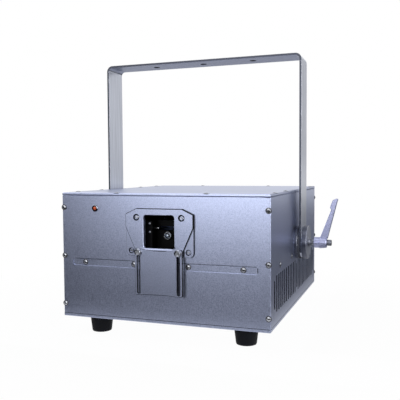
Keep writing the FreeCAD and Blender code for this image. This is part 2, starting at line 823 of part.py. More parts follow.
modules = []
posts = []
mirrors = []
MODULE_Y = f"({BEAM_Y} + module_behind_beam)"
MODULE_BAY = f"({INNER_SIDE} - module_wall_gap - scanner_left - module_scanner_gap)"
MODULE_PITCH = f"(({MODULE_BAY} + module_gap) / module_count)"
MODULE_WIDTH = f"({MODULE_PITCH} - module_gap)"
for index in range(SIZES["module_count"]):
    x = f"(module_wall_gap - {INNER_SIDE} + {MODULE_WIDTH} / 2 + {index} * {MODULE_PITCH})"
    body = box("module_body", (f"{x} - {MODULE_WIDTH} / 2", MODULE_Y, DECK_TOP),
               (MODULE_WIDTH, "module_length", "module_height"))
    gaps = []
    for step in range(SIZES["fin_count"]):
        gap_y = f"{MODULE_Y} + module_length - {step + 1} * fin_pitch"
        gaps.append(box("fin_gap", (f"{x} - {MODULE_WIDTH} / 2", gap_y, f"{DECK_TOP} + module_height - fin_depth"),
                        (MODULE_WIDTH, "fin_gap", "fin_depth")))
    modules.append(cut("laser_module", body, gaps))
    posts.append(box("mirror_post", (f"{x} - mirror_post_width / 2", f"{BEAM_Y} - mirror_post_width / 2", DECK_TOP),
                     ("mirror_post_width", "mirror_post_width", "beam_over_deck - mirror_height / 2")))
    glass = prism("combining_mirror", "Z", "0", "mirror_height",
                  centred("0", "0", "mirror_width", "mirror_thickness"))
    glass.Placement = FreeCAD.Placement(FreeCAD.Vector(), FreeCAD.Rotation(DIRECTIONS["+Z"], 45))
    bind(glass, Placement__Base__x=x, Placement__Base__y=BEAM_Y, Placement__Base__z=f"{BEAM_Z} - mirror_height / 2")
    mirrors.append(glass)
piece("laser_modules", group("laser_modules", modules))
piece("mirror_posts", group("mirror_posts", posts))
piece("combining_mirrors", group("combining_mirrors", mirrors))

# Two-axis scanner behind the window

BLOCK_FRONT = f"({FRONT} + case_plate + scanner_front_gap)"
BLOCK_BACK = f"({BLOCK_FRONT} + scanner_depth)"
NOSE_RIGHT = "(scanner_nose_width - scanner_left)"
BLOCK_RIGHT = "(scanner_width - scanner_left)"
RECESS_Y = f"({BLOCK_FRONT} + scanner_recess)"
Y_AXIS_Z = f"({BEAM_Z} + y_motor_over_beam)"
block = prism(
    "scanner_block_body", "Z", DECK_TOP, "scanner_height",
    [("-scanner_left", BLOCK_FRONT), (NOSE_RIGHT, BLOCK_FRONT), (NOSE_RIGHT, RECESS_Y), (BLOCK_RIGHT, RECESS_Y),
     (BLOCK_RIGHT, BLOCK_BACK), ("-scanner_left", BLOCK_BACK)])
X_SEAT = ("x_motor_from_middle", RECESS_Y, BEAM_Z)
Y_SEAT = (NOSE_RIGHT, BEAM_Y, Y_AXIS_Z)
HALF_LEAN = "sqrt(2) / 4"
block_bores = []
motors = []
for name, seat, towards, inwards, depth, width, length in (
        ("x_scan", X_SEAT, "-Y", "+Y", "scanner_depth - scanner_recess", "x_mirror_width", "x_mirror_length"),
        ("y_scan", Y_SEAT, "+X", "-X", "scanner_nose_width", "y_mirror_width", "y_mirror_length")):
    block_bores.append(rod(name + "_motor_bore", seat, inwards, "motor_radius + motor_fit", depth))
    motors.append(rod(name + "_motor", seat, inwards, "motor_radius", "motor_length"))
    piece(f"{name}_mirror_shaft",
          rod(f"{name}_mirror_shaft", seat, towards, "scan_shaft_radius", "scan_shaft_length"))
    glass = doc.addObject("Part::Box", f"{name}_mirror")
    root = shifted(seat, towards, "scan_shaft_length")
    across = f"({width} + scan_mirror_thickness) * {HALF_LEAN}"
    rise = f"({width} - scan_mirror_thickness) * {HALF_LEAN}"
    if name == "x_scan":
        bind(glass, Length=width, Width=length, Height="scan_mirror_thickness")
        turn = FreeCAD.Rotation(DIRECTIONS["+Y"], 45)
        corner = (f"{root[0]} - {across}", f"{root[1]} - {length}", f"{root[2]} + {rise}")
    else:
        bind(glass, Length=length, Width=width, Height="scan_mirror_thickness")
        turn = FreeCAD.Rotation(DIRECTIONS["+X"], 45)
        corner = (root[0], f"{root[1]} - {rise}", f"{root[2]} - {across}")
    glass.Placement = FreeCAD.Placement(FreeCAD.Vector(), turn)
    bind(glass, Placement__Base__x=corner[0], Placement__Base__y=corner[1], Placement__Base__z=corner[2])
    piece(f"{name}_mirror", glass)
piece("scanner_block", cut("scanner_block", block, block_bores))
piece("scanner_motors", group("scanner_motors", motors))

# Circuit boards on stand-offs, and the power supply below the deck

boards = []
standoffs = []
CONTROL_WIDTH = f"({INNER_SIDE} - control_wall_gap - board_left)"
CONTROL_Y = f"({INSIDE_REAR} - control_rear_gap - control_board_length / 2)"
DRIVER_PITCH = f"(({INNER_SIDE} - driver_wall_gap - board_left + driver_board_gap) / driver_board_count)"
DRIVER_WIDTH = f"({DRIVER_PITCH} - driver_board_gap)"
DRIVER_Y = f"({FRONT} + case_plate + driver_front_gap + driver_board_length / 2)"
layout = [(f"board_left + {CONTROL_WIDTH} / 2", CONTROL_Y, CONTROL_WIDTH, "control_board_length")]
layout += [
    (f"board_left + {DRIVER_WIDTH} / 2 + {index} * {DRIVER_PITCH}", DRIVER_Y, DRIVER_WIDTH, "driver_board_length")
    for index in range(SIZES["driver_board_count"])
]
for x, y, width, length in layout:
    boards.append(box("board", (f"{x} - {width} / 2", f"{y} - {length} / 2", f"{DECK_TOP} + standoff_height"),
                      (width, length, "board_thickness")))
    for across in (-1, 1):
        for end in (-1, 1):
            point = (f"{x} + {across} * ({width} / 2 - board_inset)",
                     f"{y} + {end} * ({length} / 2 - board_inset)", DECK_TOP)
            standoffs.append(polygon_rod("standoff", point, "+Z", "standoff_radius", "standoff_height", "6"))
piece("circuit_boards", group("circuit_boards", boards))
piece("board_standoffs", group("board_standoffs", standoffs))
SUPPLY_FRONT = "(supply_y - supply_length / 2)"
SUPPLY_BACK = "(supply_y + supply_length / 2)"
piece("power_supply", prism(
    "power_supply", "X", "supply_x - supply_width / 2", "supply_width",
    [(SUPPLY_FRONT, WALL_LOW), (SUPPLY_BACK, WALL_LOW),
     (SUPPLY_BACK, f"{WALL_LOW} + supply_height - supply_cover_drop"),
     (f"{SUPPLY_BACK} - supply_cover_step", f"{WALL_LOW} + supply_height - supply_cover_drop"),
     (f"{SUPPLY_BACK} - supply_cover_step", f"{WALL_LOW} + supply_height"),
     (SUPPLY_FRONT, f"{WALL_LOW} + supply_height")]))

# Fans behind slots in the rear panel

FAN_SIZE = "(lower_bay - fan_low - fan_head_gap)"
FAN_BORE = f"({FAN_SIZE} / 2 - fan_wall)"
FAN_Z = f"({WALL_LOW} + fan_low + {FAN_SIZE} / 2)"
FAN_FRONT = f"({INSIDE_REAR} - fan_thickness)"
ROTOR_FRONT = f"({FAN_FRONT} + fan_back_web + fan_running_gap)"
HUB_STEP = "360 / fan_hub_sides"
hub_outline = [
    (f"fan_hub_radius * cos({index} * {HUB_STEP})", f"fan_hub_radius * sin({index} * {HUB_STEP})")
    for index in range(SIZES["fan_hub_sides"])
]
frames = []
fan_vents = []


def blade_section(body, level, chord):
    """A thin slanted section of a blade, square to the radius at a level."""
    points = []
    for end, skin in ((-1, -1), (1, -1), (1, 1), (-1, 1)):
        run = f"{end} * {chord} / 2"
        rise = f"{skin} * blade_thickness / 2"
        points.append((f"fan_hub_length / 2 + {run} * sin(blade_angle) + {rise} * cos(blade_angle)",
                       f"{run} * cos(blade_angle) - {rise} * sin(blade_angle)"))
    sketch = sketch_on(body, "YZ_Plane", level)
    closed_outline(sketch, points)
    return sketch


for label, side in SIDES.items():
    x = f"{side} * fan_spacing / 2"
    shell = prism(f"{label}_fan_shell", "Y", FAN_FRONT, "fan_thickness",
                  centred(x, FAN_Z, FAN_SIZE, FAN_SIZE))
    bore = rod("fan_bore", (x, FAN_FRONT, FAN_Z), "+Y", FAN_BORE, "fan_thickness")
    web = box("fan_web", (f"{x} - fan_hub_radius", FAN_FRONT, f"{FAN_Z} - fan_hub_radius"),
              ("2 * fan_hub_radius", "fan_back_web", "2 * fan_hub_radius"))
    struts = [
        box("fan_strut", (f"{x} - {FAN_BORE} - 1", FAN_FRONT, f"{FAN_Z} - fan_strut_width / 2"),
            (f"2 * {FAN_BORE} + 2", "fan_back_web", "fan_strut_width")),
        box("fan_strut", (f"{x} - fan_strut_width / 2", FAN_FRONT, f"{FAN_Z} - {FAN_BORE} - 1"),
            ("fan_strut_width", "fan_back_web", f"2 * {FAN_BORE} + 2")),
    ]
    hollow = cut(f"{label}_fan_ring", shell, [bore])
    frames.append(fuse(f"{label}_fan_frame", [hollow, web] + struts))
    rotor = new_body(f"{label}_fan_rotor")
    place(rotor, x, ROTOR_FRONT, FAN_Z)
    pad(rotor, "Y", "0", "fan_hub_length", hub_outline)
    root = blade_section(rotor, "fan_hub_radius - 2 * blade_thickness", "blade_root_chord")
    tip = blade_section(rotor, f"{FAN_BORE} - blade_tip_gap", "blade_tip_chord")
    blade = rotor.newObject("PartDesign::AdditiveLoft", f"{label}_blade")
    blade.Profile = root
    blade.Sections = [tip]
    blade.Ruled = True
    blades = rotor.newObject("PartDesign::PolarPattern", f"{label}_blades")
    blades.Originals = [blade]
    blades.Axis = (origin_plane(rotor, "Y_Axis"), [""])
    blades.Angle = 360
    bind(blades, Occurrences="blade_count")
    rotor.Tip = blades
    piece(f"{label}_fan_rotor", rotor)
    for index in range(SIZES["fan_vent_count"]):
        vent_x = f"{x} + ({index} - (fan_vent_count - 1) / 2) * {VENT_PITCH}"
        fan_vents.append(box("fan_vent", (f"{vent_x} - vent_width / 2", INSIDE_REAR, f"{FAN_Z} - {VENT_HEIGHT} / 2"),
                             ("vent_width", "case_plate", VENT_HEIGHT)))
piece("fan_frames", group("fan_frames", frames))

# The row of sockets is spread evenly over the width of the rear panel

SOCKET_WIDTHS = {
    "inlet": "inlet_flange_width",
    "switch": "switch_width",
    "ilda_input": "ilda_flange_width",
    "ilda_output": "ilda_flange_width",
    "dmx_input": "dmx_flange_width",
    "dmx_output": "dmx_flange_width",
}
TAKEN = " - ".join(["socket_edge_left", "socket_edge_right", *SOCKET_WIDTHS.values()])
SOCKET_GAP = f"((case_width - {TAKEN}) / {len(SOCKET_WIDTHS) - 1})"
SOCKET_X = {}
edge = f"socket_edge_left - {SIDE}"
for name, width in SOCKET_WIDTHS.items():
    SOCKET_X[name] = f"({edge} + {width} / 2)"
    edge = f"{edge} + {width} + {SOCKET_GAP}"

# Mains inlet and its switch

INLET_X = SOCKET_X["inlet"]
SWITCH_X = SOCKET_X["switch"]
inlet_flange = prism("inlet_flange", "Y", REAR, "inlet_flange",
                     centred(INLET_X, SOCKETS, "inlet_flange_width", "inlet_flange_height"))
inlet_body = prism("inlet_body", "Y", f"{REAR} - inlet_body_depth", "inlet_body_depth",
                   centred(INLET_X, SOCKETS, "inlet_body_width", "inlet_body_height"))
INLET_FLOOR = f"({REAR} + inlet_flange - inlet_recess_depth)"
inlet_recess = prism("inlet_recess", "Y", INLET_FLOOR, "inlet_recess_depth",
                     centred(INLET_X, SOCKETS, "inlet_recess_width", "inlet_recess_height"))
soften(inlet_recess, "Chamfer", "inlet_corner",
       lambda middle, run: along(run, "Y") and middle.z > num(SOCKETS))
inlet_blank = fuse("inlet_blank", [inlet_flange, inlet_body])
piece("power_inlet", cut("power_inlet", inlet_blank, [inlet_recess]))
pins = []
for across, lift in ((-1, -1), (0, 1), (1, -1)):
    corner = (f"{INLET_X} + {across} * inlet_pin_spacing / 2 - inlet_pin_width / 2", INLET_FLOOR,
              f"{SOCKETS} + {lift} * inlet_earth_offset / 2 - inlet_pin_height / 2")
    pins.append(box("inlet_pin", corner, ("inlet_pin_width", "inlet_pin_length", "inlet_pin_height")))
piece("inlet_pins", group("inlet_pins", pins))

SLEEVE_WIDTH = "switch_width - 2 * switch_lip"
SLEEVE_HEIGHT = "switch_height - 2 * switch_lip"
WELL_WIDTH = f"({SLEEVE_WIDTH} - 2 * switch_wall)"
WELL_HEIGHT = f"({SLEEVE_HEIGHT} - 2 * switch_wall)"
switch_flange = prism("switch_flange", "Y", REAR, "switch_flange",
                      centred(SWITCH_X, SOCKETS, "switch_width", "switch_height"))
switch_sleeve = prism("switch_sleeve", "Y", f"{REAR} - switch_depth", "switch_depth",
                      centred(SWITCH_X, SOCKETS, SLEEVE_WIDTH, SLEEVE_HEIGHT))
switch_well = prism("switch_well", "Y", f"{REAR} - switch_depth + switch_wall",
                    "switch_depth + switch_flange - switch_wall",
                    centred(SWITCH_X, SOCKETS, WELL_WIDTH, WELL_HEIGHT))
ROCKER_Y = f"({REAR} - rocker_pivot_depth)"
switch_blank = fuse("switch_blank", [switch_flange, switch_sleeve])
piece("power_switch_frame", cut("power_switch_frame", switch_blank, [switch_well]))
ROCKER_HALF = f"({WELL_HEIGHT} / 2 - rocker_gap)"
rocker = new_body("power_rocker")
pad(rocker, "X", f"-({WELL_WIDTH} / 2 - rocker_gap)", f"{WELL_WIDTH} - 2 * rocker_gap",
    [("-rocker_thickness", f"-{ROCKER_HALF} + rocker_taper"), ("-rocker_thickness", f"{ROCKER_HALF} - rocker_taper"),
     ("rocker_rise", f"{ROCKER_HALF} - rocker_taper"), ("rocker_rise - rocker_valley", "0"),
     ("rocker_rise", f"-{ROCKER_HALF} + rocker_taper")])
rocker.Placement = FreeCAD.Placement(FreeCAD.Vector(), FreeCAD.Rotation(DIRECTIONS["+X"], SIZES["rocker_lean"]))
bind(rocker, Placement__Base__x=SWITCH_X, Placement__Base__y=ROCKER_Y, Placement__Base__z=SOCKETS,
     Placement__Rotation__Angle="rocker_lean")
piece("power_rocker", rocker)

# Laser control sockets, with a slanted shell and two screw posts


def slanted(x, z, width, height, wall="0"):
    """The outline of such a shell: its sides lean in towards the bottom."""
    top = f"({width}) / 2 - {wall}"
    low = f"({width}) / 2 - {wall} - ilda_shell_slant"
    half = f"(({height}) / 2 - {wall})"
    return [(f"{x} - ({low})", f"{z} - {half}"), (f"{x} + ({low})", f"{z} - {half}"),
            (f"{x} + ({top})", f"{z} + {half}"), (f"{x} - ({top})", f"{z} + {half}")]


shell_size = ("ilda_shell_width", "ilda_shell_height")
ilda_holes = []
for label, hollow in (("ilda_input", True), ("ilda_output", False)):
    x = SOCKET_X[label]
    flange = prism(label + "_flange", "Y", REAR, "ilda_flange",
                   centred(x, SOCKETS, "ilda_flange_width", "ilda_flange_height"))
    shell = prism(label + "_shell", "Y", REAR, "ilda_flange + ilda_shell_reach", slanted(x, SOCKETS, *shell_size))
    back = prism(label + "_back", "Y", f"{REAR} - ilda_body_depth", "ilda_body_depth",
                 slanted(x, SOCKETS, *shell_size))
    ilda_posts = [
        polygon_rod("ilda_post", (f"{x} + {side} * ilda_post_spacing / 2", f"{REAR} + ilda_flange", SOCKETS), "+Y",
                    "ilda_post_radius", "ilda_shell_reach", "6")
        for side in (-1, 1)
    ]
    depth = "ilda_shell_reach" if hollow else "ilda_face_recess"
    cup = prism(label + "_cup", "Y", f"{REAR} + ilda_flange + ilda_shell_reach - {depth}", depth,
                slanted(x, SOCKETS, *shell_size, "ilda_shell_wall"))
    piece(label, cut(label, fuse(label + "_blank", [flange, shell, back] + ilda_posts), [cup]))
    ilda_holes.append(prism(label + "_hole", "Y", INSIDE_REAR, "case_plate", slanted(x, SOCKETS, *shell_size)))

# Lighting control sockets: an open cup, and a plug seat with a gap around its core

dmx_holes = []
DMX_FACE = f"({REAR} + dmx_flange)"
CUP_FLOOR = f"({DMX_FACE} - dmx_cup_depth)"
for label in ("dmx_input", "dmx_output"):
    x = SOCKET_X[label]
    flange = rounded_block(
        label + "_flange", "Y", REAR, "dmx_flange",
        centred(x, SOCKETS, "dmx_flange_width", "dmx_flange_height"), "dmx_flange_corner", "Chamfer")
    back_outline = centred(x, SOCKETS, "dmx_back_width", "dmx_back_height")
    back = prism(label + "_back", "Y", f"{REAR} - dmx_back_depth", "dmx_back_depth", back_outline)
    cup = rod(label + "_cup", (x, CUP_FLOOR, SOCKETS), "+Y", "dmx_cup_radius", "dmx_cup_depth")
    if label == "dmx_output":
        core = rod(label + "_core", (x, CUP_FLOOR, SOCKETS), "+Y", "dmx_cup_radius - dmx_plug_gap", "dmx_cup_depth")
        cup = cut(label + "_gap", cup, [core])
    piece(label, cut(label, fuse(label + "_blank", [flange, back]), [cup]))
    dmx_holes.append(prism(label + "_hole", "Y", INSIDE_REAR, "case_plate", back_outline))

# Display, menu buttons and key switch

DISPLAY_X = f"(display_from_edge - {SIDE} + display_width / 2)"
FIRST_BUTTON_X = f"(display_from_edge - {SIDE} + display_width + button_display_gap)"
KEY_X = f"({SIDE} - key_from_edge)"
display_rim = prism("display_rim_block", "Y", REAR, "display_rim",
                    centred(DISPLAY_X, CONTROLS, "display_width", "display_height"))
display_pane = prism("display_pane", "Y", INSIDE_REAR, "case_plate",
                     centred(DISPLAY_X, CONTROLS, "display_width - 2 * display_rim",
                             "display_height - 2 * display_rim"))
piece("display_window", fuse("display_window", [display_rim, display_pane]))
button_holes = []
BUTTON_BACK = f"({INSIDE_REAR} - button_seat_gap)"
for index in range(4):
    label = f"menu_button_{index + 1}"
    x = f"({FIRST_BUTTON_X} + {index} * button_pitch)"
    cap = prism(label + "_cap", "Y", BUTTON_BACK, f"{REAR} + button_rise - {BUTTON_BACK}",
                centred(x, CONTROLS, "button_width", "button_width"))
    flange = prism(label + "_flange", "Y", f"{BUTTON_BACK} - button_flange", "button_flange",
                   centred(x, CONTROLS, "button_flange_width", "button_flange_width"))
    piece(label, fuse(label, [cap, flange]))
    button_holes.append(prism(
        label + "_hole", "Y", INSIDE_REAR, "case_plate",
        centred(x, CONTROLS, "button_width + 2 * button_gap", "button_width + 2 * button_gap")))

KEY_FACE = f"({REAR} + key_bezel)"
KEY_BORE = "key_barrel_radius + key_barrel_gap"
key_nut = polygon_rod("key_nut", (KEY_X, REAR, CONTROLS), "+Y", "key_bezel_radius", "key_bezel", "6")
nut_bore = rod("key_nut_bore", (KEY_X, REAR, CONTROLS), "+Y", KEY_BORE, "key_bezel")
piece("key_switch_nut", cut("key_switch_nut", key_nut, [nut_bore]))
barrel_rod = rod("key_barrel_rod", (KEY_X, f"{KEY_FACE} - key_barrel_length", CONTROLS), "+Y",
                 "key_barrel_radius", "key_barrel_length")
key_slot = box("key_slot",
               (f"{KEY_X} - key_blade_thickness / 2 - key_blade_gap", f"{KEY_FACE} - key_blade_depth",
                f"{CONTROLS} - key_blade_width / 2 - key_blade_gap"),
               ("key_blade_thickness + 2 * key_blade_gap", "key_blade_depth",
                "key_blade_width + 2 * key_blade_gap"))
piece("key_barrel", cut("key_barrel", barrel_rod, [key_slot]))
blade = box("key_blade", (f"{KEY_X} - key_blade_thickness / 2", f"{KEY_FACE} - key_blade_depth",
                          f"{CONTROLS} - key_blade_width / 2"),
            ("key_blade_thickness", "key_blade_depth + key_neck + key_bow_radius / 2", "key_blade_width"))
BOW_Y = f"({KEY_FACE} + key_neck + key_bow_radius)"
bow = rod("key_bow", (f"{KEY_X} - key_blade_thickness / 2", BOW_Y, CONTROLS), "+X", "key_bow_radius",
          "key_blade_thickness")
piece("switch_key", fuse("switch_key", [blade, bow]))

# Rear panel with an opening for each of these

key_hole = rod("key_hole", (KEY_X, INSIDE_REAR, CONTROLS), "+Y", KEY_BORE, "case_plate")
inlet_hole = prism("inlet_hole", "Y", INSIDE_REAR, "case_plate",
                   centred(INLET_X, SOCKETS, "inlet_body_width", "inlet_body_height"))
switch_hole = prism("switch_hole", "Y", INSIDE_REAR, "case_plate",
                    centred(SWITCH_X, SOCKETS, SLEEVE_WIDTH, SLEEVE_HEIGHT))
display_hole = prism("display_hole", "Y", INSIDE_REAR, "case_plate",
                     centred(DISPLAY_X, CONTROLS, "display_width - 2 * display_rim",
                             "display_height - 2 * display_rim"))
rear = prism("rear_panel_body", "Y", INSIDE_REAR, "case_plate", wall_outline)
piece("rear_panel", cut("rear_panel", rear, fan_vents + ilda_holes + dmx_holes
                        + button_holes + [key_hole, inlet_hole, switch_hole, display_hole]))

# Check every object, then write each sub-part to its own file

doc.recompute()
failed = [item.Name for item in doc.Objects if "Invalid" in item.State or "Error" in item.State]
failed += [label for label, item in PIECES.items() if item.Shape.isNull() or not item.Shape.isValid()]
if failed:
    raise RuntimeError("these objects failed: " + ", ".join(failed))
os.makedirs("parts", exist_ok=True)
for label, item in PIECES.items():
    item.Shape.exportStep(f"parts/{label}.step")
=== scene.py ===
"""Dresses the laser show projector: softened edges, fasteners, finishes, a studio and the camera.

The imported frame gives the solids, in metres, and the bodies that move. Every piece made here rides on one.
"""

import json
import math

import bmesh
import bpy
from bpy.props import FloatProperty, FloatVectorProperty, IntProperty, PointerProperty
from mathutils import Matrix, Vector


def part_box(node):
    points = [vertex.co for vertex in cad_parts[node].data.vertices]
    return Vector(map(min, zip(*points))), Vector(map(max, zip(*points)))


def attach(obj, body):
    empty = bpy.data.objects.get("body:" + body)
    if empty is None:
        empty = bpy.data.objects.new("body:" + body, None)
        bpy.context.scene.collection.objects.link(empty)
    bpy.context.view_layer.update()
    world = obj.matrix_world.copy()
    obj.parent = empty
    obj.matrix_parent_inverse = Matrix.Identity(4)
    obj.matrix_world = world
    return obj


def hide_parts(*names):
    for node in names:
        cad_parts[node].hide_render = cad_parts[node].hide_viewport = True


bl_info = {
    "name": "Laser show projector",
    "version": (1, 0, 0),
    "blender": (4, 5, 0),
    "location": "View3D > Sidebar > Projector",
    "description": "Softened plates, fasteners, finishes and studio for a laser show projector",
    "category": "Object",
}

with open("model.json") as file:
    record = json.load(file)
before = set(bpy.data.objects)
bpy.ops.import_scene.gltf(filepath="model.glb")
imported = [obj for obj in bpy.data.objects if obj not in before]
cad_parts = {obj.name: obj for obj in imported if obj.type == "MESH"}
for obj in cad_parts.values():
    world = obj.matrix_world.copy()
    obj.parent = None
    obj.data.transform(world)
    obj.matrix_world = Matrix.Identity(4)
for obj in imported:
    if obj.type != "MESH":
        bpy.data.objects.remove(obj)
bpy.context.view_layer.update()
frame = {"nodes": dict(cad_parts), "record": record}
MM = 0.001

# Places that the frame gives
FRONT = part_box("front_panel")[0].y
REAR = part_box("rear_panel")[1].y
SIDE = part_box("top_cover")[1].x
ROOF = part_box("top_cover")[1].z
GUIDE_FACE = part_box("aperture_guide_plate")[0].y
PANEL_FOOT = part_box("front_panel")[0].z
DECK_Z = sum(corner.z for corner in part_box("optical_deck")) / 2
PIVOT_Z = sum(corner.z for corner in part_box("clamp_discs")) / 2

# The groove across the front panel
GROOVE_TOP = 139.1 * MM
GROOVE_FLOOR = FRONT + 1.2 * MM
GROOVE_END = 169.5 * MM

SIDES = {"left": -1, "right": 1}
BODY_OF = {node: body for body, nodes in frame["record"]["behaviour"]["bodies"].items() for node in nodes}
SLOT_OF = {part["node"]: part["material_slot"] for part in frame["record"]["subparts"]}


def middle(node):
    low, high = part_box(node)
    return (low + high) / 2


# Settings that a user would change

def length(name, millimetres, description):
    """A length property, kept in metres."""
    return FloatProperty(name=name, description=description, default=millimetres * MM, min=0, unit="LENGTH")


def amount(name, value, description, **options):
    """A number property that can't be negative."""
    return FloatProperty(name=name, description=description, default=value, min=0, **options)


def linear(code):
    """An sRGB hex code as a linear colour with full alpha."""
    parts = [int(code[start:start + 2], 16) / 255 for start in (1, 3, 5)]
    bright = [part / 12.92 if part <= 0.04045 else ((part + 0.055) / 1.055) ** 2.4 for part in parts]
    return (*bright, 1)


def colour(name, code, description):
    """A colour property from an sRGB hex code."""
    return FloatVectorProperty(
        name=name, description=description, subtype="COLOR", size=4, min=0, max=1, default=linear(code))


class ProjectorEdges(bpy.types.PropertyGroup):
    plate: length("Plate edge", 0.65, "Width of the broken edge on the case plates")
    corner: length("Case corner", 1.4, "Rounding of the long corners of the case")
    # Painted shade: the seam is a black strip on the plate's face, standing for the shadow in the gap between
    # plates.
    seam: length("Seam", 0.8, "Dark seam along the upright plates")
    groove: length("Groove", 0.15, "Width of the broken edge along the groove")
    # Painted shadow: a black strip on the groove's floor, standing for the shadow cast by its upper wall.
    groove_shadow: length("Groove line", 0.9, "Dark line under the groove's upper wall")
    small: length("Small edge", 0.35, "Width of the broken edge on small parts")
    lever: length("Lever edge", 1.3, "Rounding of the cast lever's arm")
    turned_segments: IntProperty(
        name="Turned segments", description="Faces around a turned part", default=64, min=12)


class ProjectorScrews(bpy.types.PropertyGroup):
    head_radius: length("Head radius", 3.8, "Radius of a case screw's head")
    wall_height: length("Wall height", 0.4, "Height of the head's straight wall")
    crown_height: length("Crown height", 1.2, "Height of the head's round crown over its wall")
    socket_radius: length("Socket radius", 1.7, "Radius over the corners of the hexagon socket")
    socket_depth: length("Socket depth", 0.9, "Depth of the hexagon socket")
    # The dark washer is a black ring of painted shade around each case screw's head.
    shade_ring_radius: length("Washer radius", 5, "Radius of the dark washer under a case screw")
    shade_ring_height: length("Washer height", 0.3, "Thickness of the dark washer")


class ProjectorColours(bpy.types.PropertyGroup):
    case_pale: colour("Case, pale grain", "#B3BBD5", "Bright grains of the anodised plates")
    case_dark: colour("Case, dark grain", "#969EBA", "Dark grains of the anodised plates")
    bracket_pale: colour("Bracket, pale line", "#CED2DD", "Bright brush lines of the bracket")
    bracket_dark: colour("Bracket, dark line", "#B6BAC5", "Dark brush lines of the bracket")
    # The cut edges' darker colour is painted shade.
    bracket_edge_shade: colour("Bracket, cut edge", "#50535E", "Cut edges of the bracket's bar")
    lever_pale: colour("Lever, pale flake", "#B0B4D2", "Bright flakes of the levers' powder coat")
    lever_dark: colour("Lever, dark flake", "#A6AACA", "Dark flakes of the levers' powder coat")
    rubber: colour("Feet", "#05060A", "Rubber of the feet")
    lamp_pale: colour("Lamp, bright", "#D8561A", "Lens of the indicator lamp where the light comes through")
    lamp_dark: colour("Lamp, deep", "#A0340E", "Lens of the indicator lamp where it is thick")


class ProjectorStudio(bpy.types.PropertyGroup):
    key_power: amount("Key light", 10.5, "Power of the soft box in front of the object", unit="POWER")
    fill_power: amount("Top light", 14, "Power of the large lamp overhead", unit="POWER")
    strip_power: amount(
        "Strip light", 20, "Power of the narrow lamp at the right, for the upright corner", unit="POWER")
    ambient: amount("Ambient", 0.33, "Strength of the room light")
    front_shade: amount("Front card", 0.015, "How bright the card on the table in front is")
    left_shade: amount("Left card", 0.06, "How bright the upright card at the left is")
    right_shade: amount("Right card", 0.1, "How bright the cards at the right and far off are")
    rear_shade: amount("Rear card", 0.45, "How bright the card behind is")
    floor_white: amount(
        "Floor white", 0.975, "How far the floor's own white covers its shading", max=1, subtype="FACTOR")


# Nodes and finishes

materials = {}


def add(tree, kind, inputs=(), **settings):
    """Adds a node, sets its properties, and links its inputs or gives them values."""
    node = tree.nodes.new(kind)
    for name, value in settings.items():
        setattr(node, name, value)
    for name, value in dict(inputs).items():
        if isinstance(value, bpy.types.NodeSocket):
            tree.links.new(value, node.inputs[name])
        else:
            node.inputs[name].default_value = value
    return node


def empty_tree(owner):
    """The node tree of a material or world, with nothing in it."""
    owner.use_nodes = True
    owner.node_tree.nodes.clear()
    return owner.node_tree


def surface(slot, name, tones, rough, size, stretch=(1, 1, 1), centre=(0, 0, 0), texture="ShaderNodeTexNoise",
            options=(), settings=(), bump=0.1, **sockets):
    """Makes a slot's material: colour, roughness and relief follow one pattern of a size in millimetres.

    The tones are dark and pale, as hex codes or colours. The pattern is laid over the piece's own place in
    the frame, stretched along each axis about a centre.
    """
    materials[slot] = bpy.data.materials.new(name)
    tree = empty_tree(materials[slot])
    values = {key.replace("_", " "): value for key, value in sockets.items()}
    shader = add(tree, "ShaderNodeBsdfPrincipled", values)
    add(tree, "ShaderNodeOutputMaterial", {"Surface": shader.outputs["BSDF"]})
    scale = [part / (size * MM) for part in stretch]
    where = add(tree, "ShaderNodeTexCoord")
    laid = add(tree, "ShaderNodeMapping", {
        "Vector": where.outputs["Object"], "Scale": scale,
        "Location": [-part * step for part, step in zip(centre, scale)]})
    inputs = {"Vector": laid.outputs["Vector"], "Scale": 1.0} | dict(options)
    pattern = add(tree, texture, inputs, **dict(settings))
    # The middle of the pattern's range is spread over the whole of it, so that it shows clearly.
    clear = add(tree, "ShaderNodeMapRange", {
        "Value": pattern.outputs["Fac"], "From Min": 0.3, "From Max": 0.7})
    dark, pale = [linear(tone) if isinstance(tone, str) else tone for tone in tones]
    tint = add(tree, "ShaderNodeMix", {"Factor": clear.outputs["Result"], 6: dark, 7: pale}, data_type="RGBA")
    gloss = add(tree, "ShaderNodeMapRange", {
        "Value": clear.outputs["Result"], "To Min": rough[0], "To Max": rough[1]})
    tree.links.new(tint.outputs[2], shader.inputs["Base Color"])
    tree.links.new(gloss.outputs["Result"], shader.inputs["Roughness"])
    if bump:
        relief = add(tree, "ShaderNodeBump", {
            "Height": pattern.outputs["Fac"], "Strength": bump, "Distance": 0.05 * MM})
        tree.links.new(relief.outputs["Normal"], shader.inputs["Normal"])


def shade_painted_sides(slot, axis, test, limit, tone, roughness):
    """Paints the sides that pass a test on how far they face along an axis with another colour, as painted
    shade, and another dullness.
    """
    tree = materials[slot].node_tree
    shader = next(node for node in tree.nodes if node.type == "BSDF_PRINCIPLED")
    where = add(tree, "ShaderNodeTexCoord")
    facing = add(tree, "ShaderNodeSeparateXYZ", {"Vector": where.outputs["Normal"]})
    size = add(tree, "ShaderNodeMath", {0: facing.outputs[axis]}, operation="ABSOLUTE")
    side = add(tree, "ShaderNodeMath", {0: size.outputs[0], 1: limit}, operation=test)
    # The mix node's sockets go by number: two inputs and a result for each kind of value.
    for socket, kind, first, second, value, result in (
            ("Base Color", "RGBA", 6, 7, tone, 2), ("Roughness", "FLOAT", 2, 3, roughness, 0)):
        source = shader.inputs[socket].links[0].from_socket
        mix = add(tree, "ShaderNodeMix", {
            "Factor": side.outputs[0], first: source, second: value}, data_type=kind)
        tree.links.new(mix.outputs[result], shader.inputs[socket])


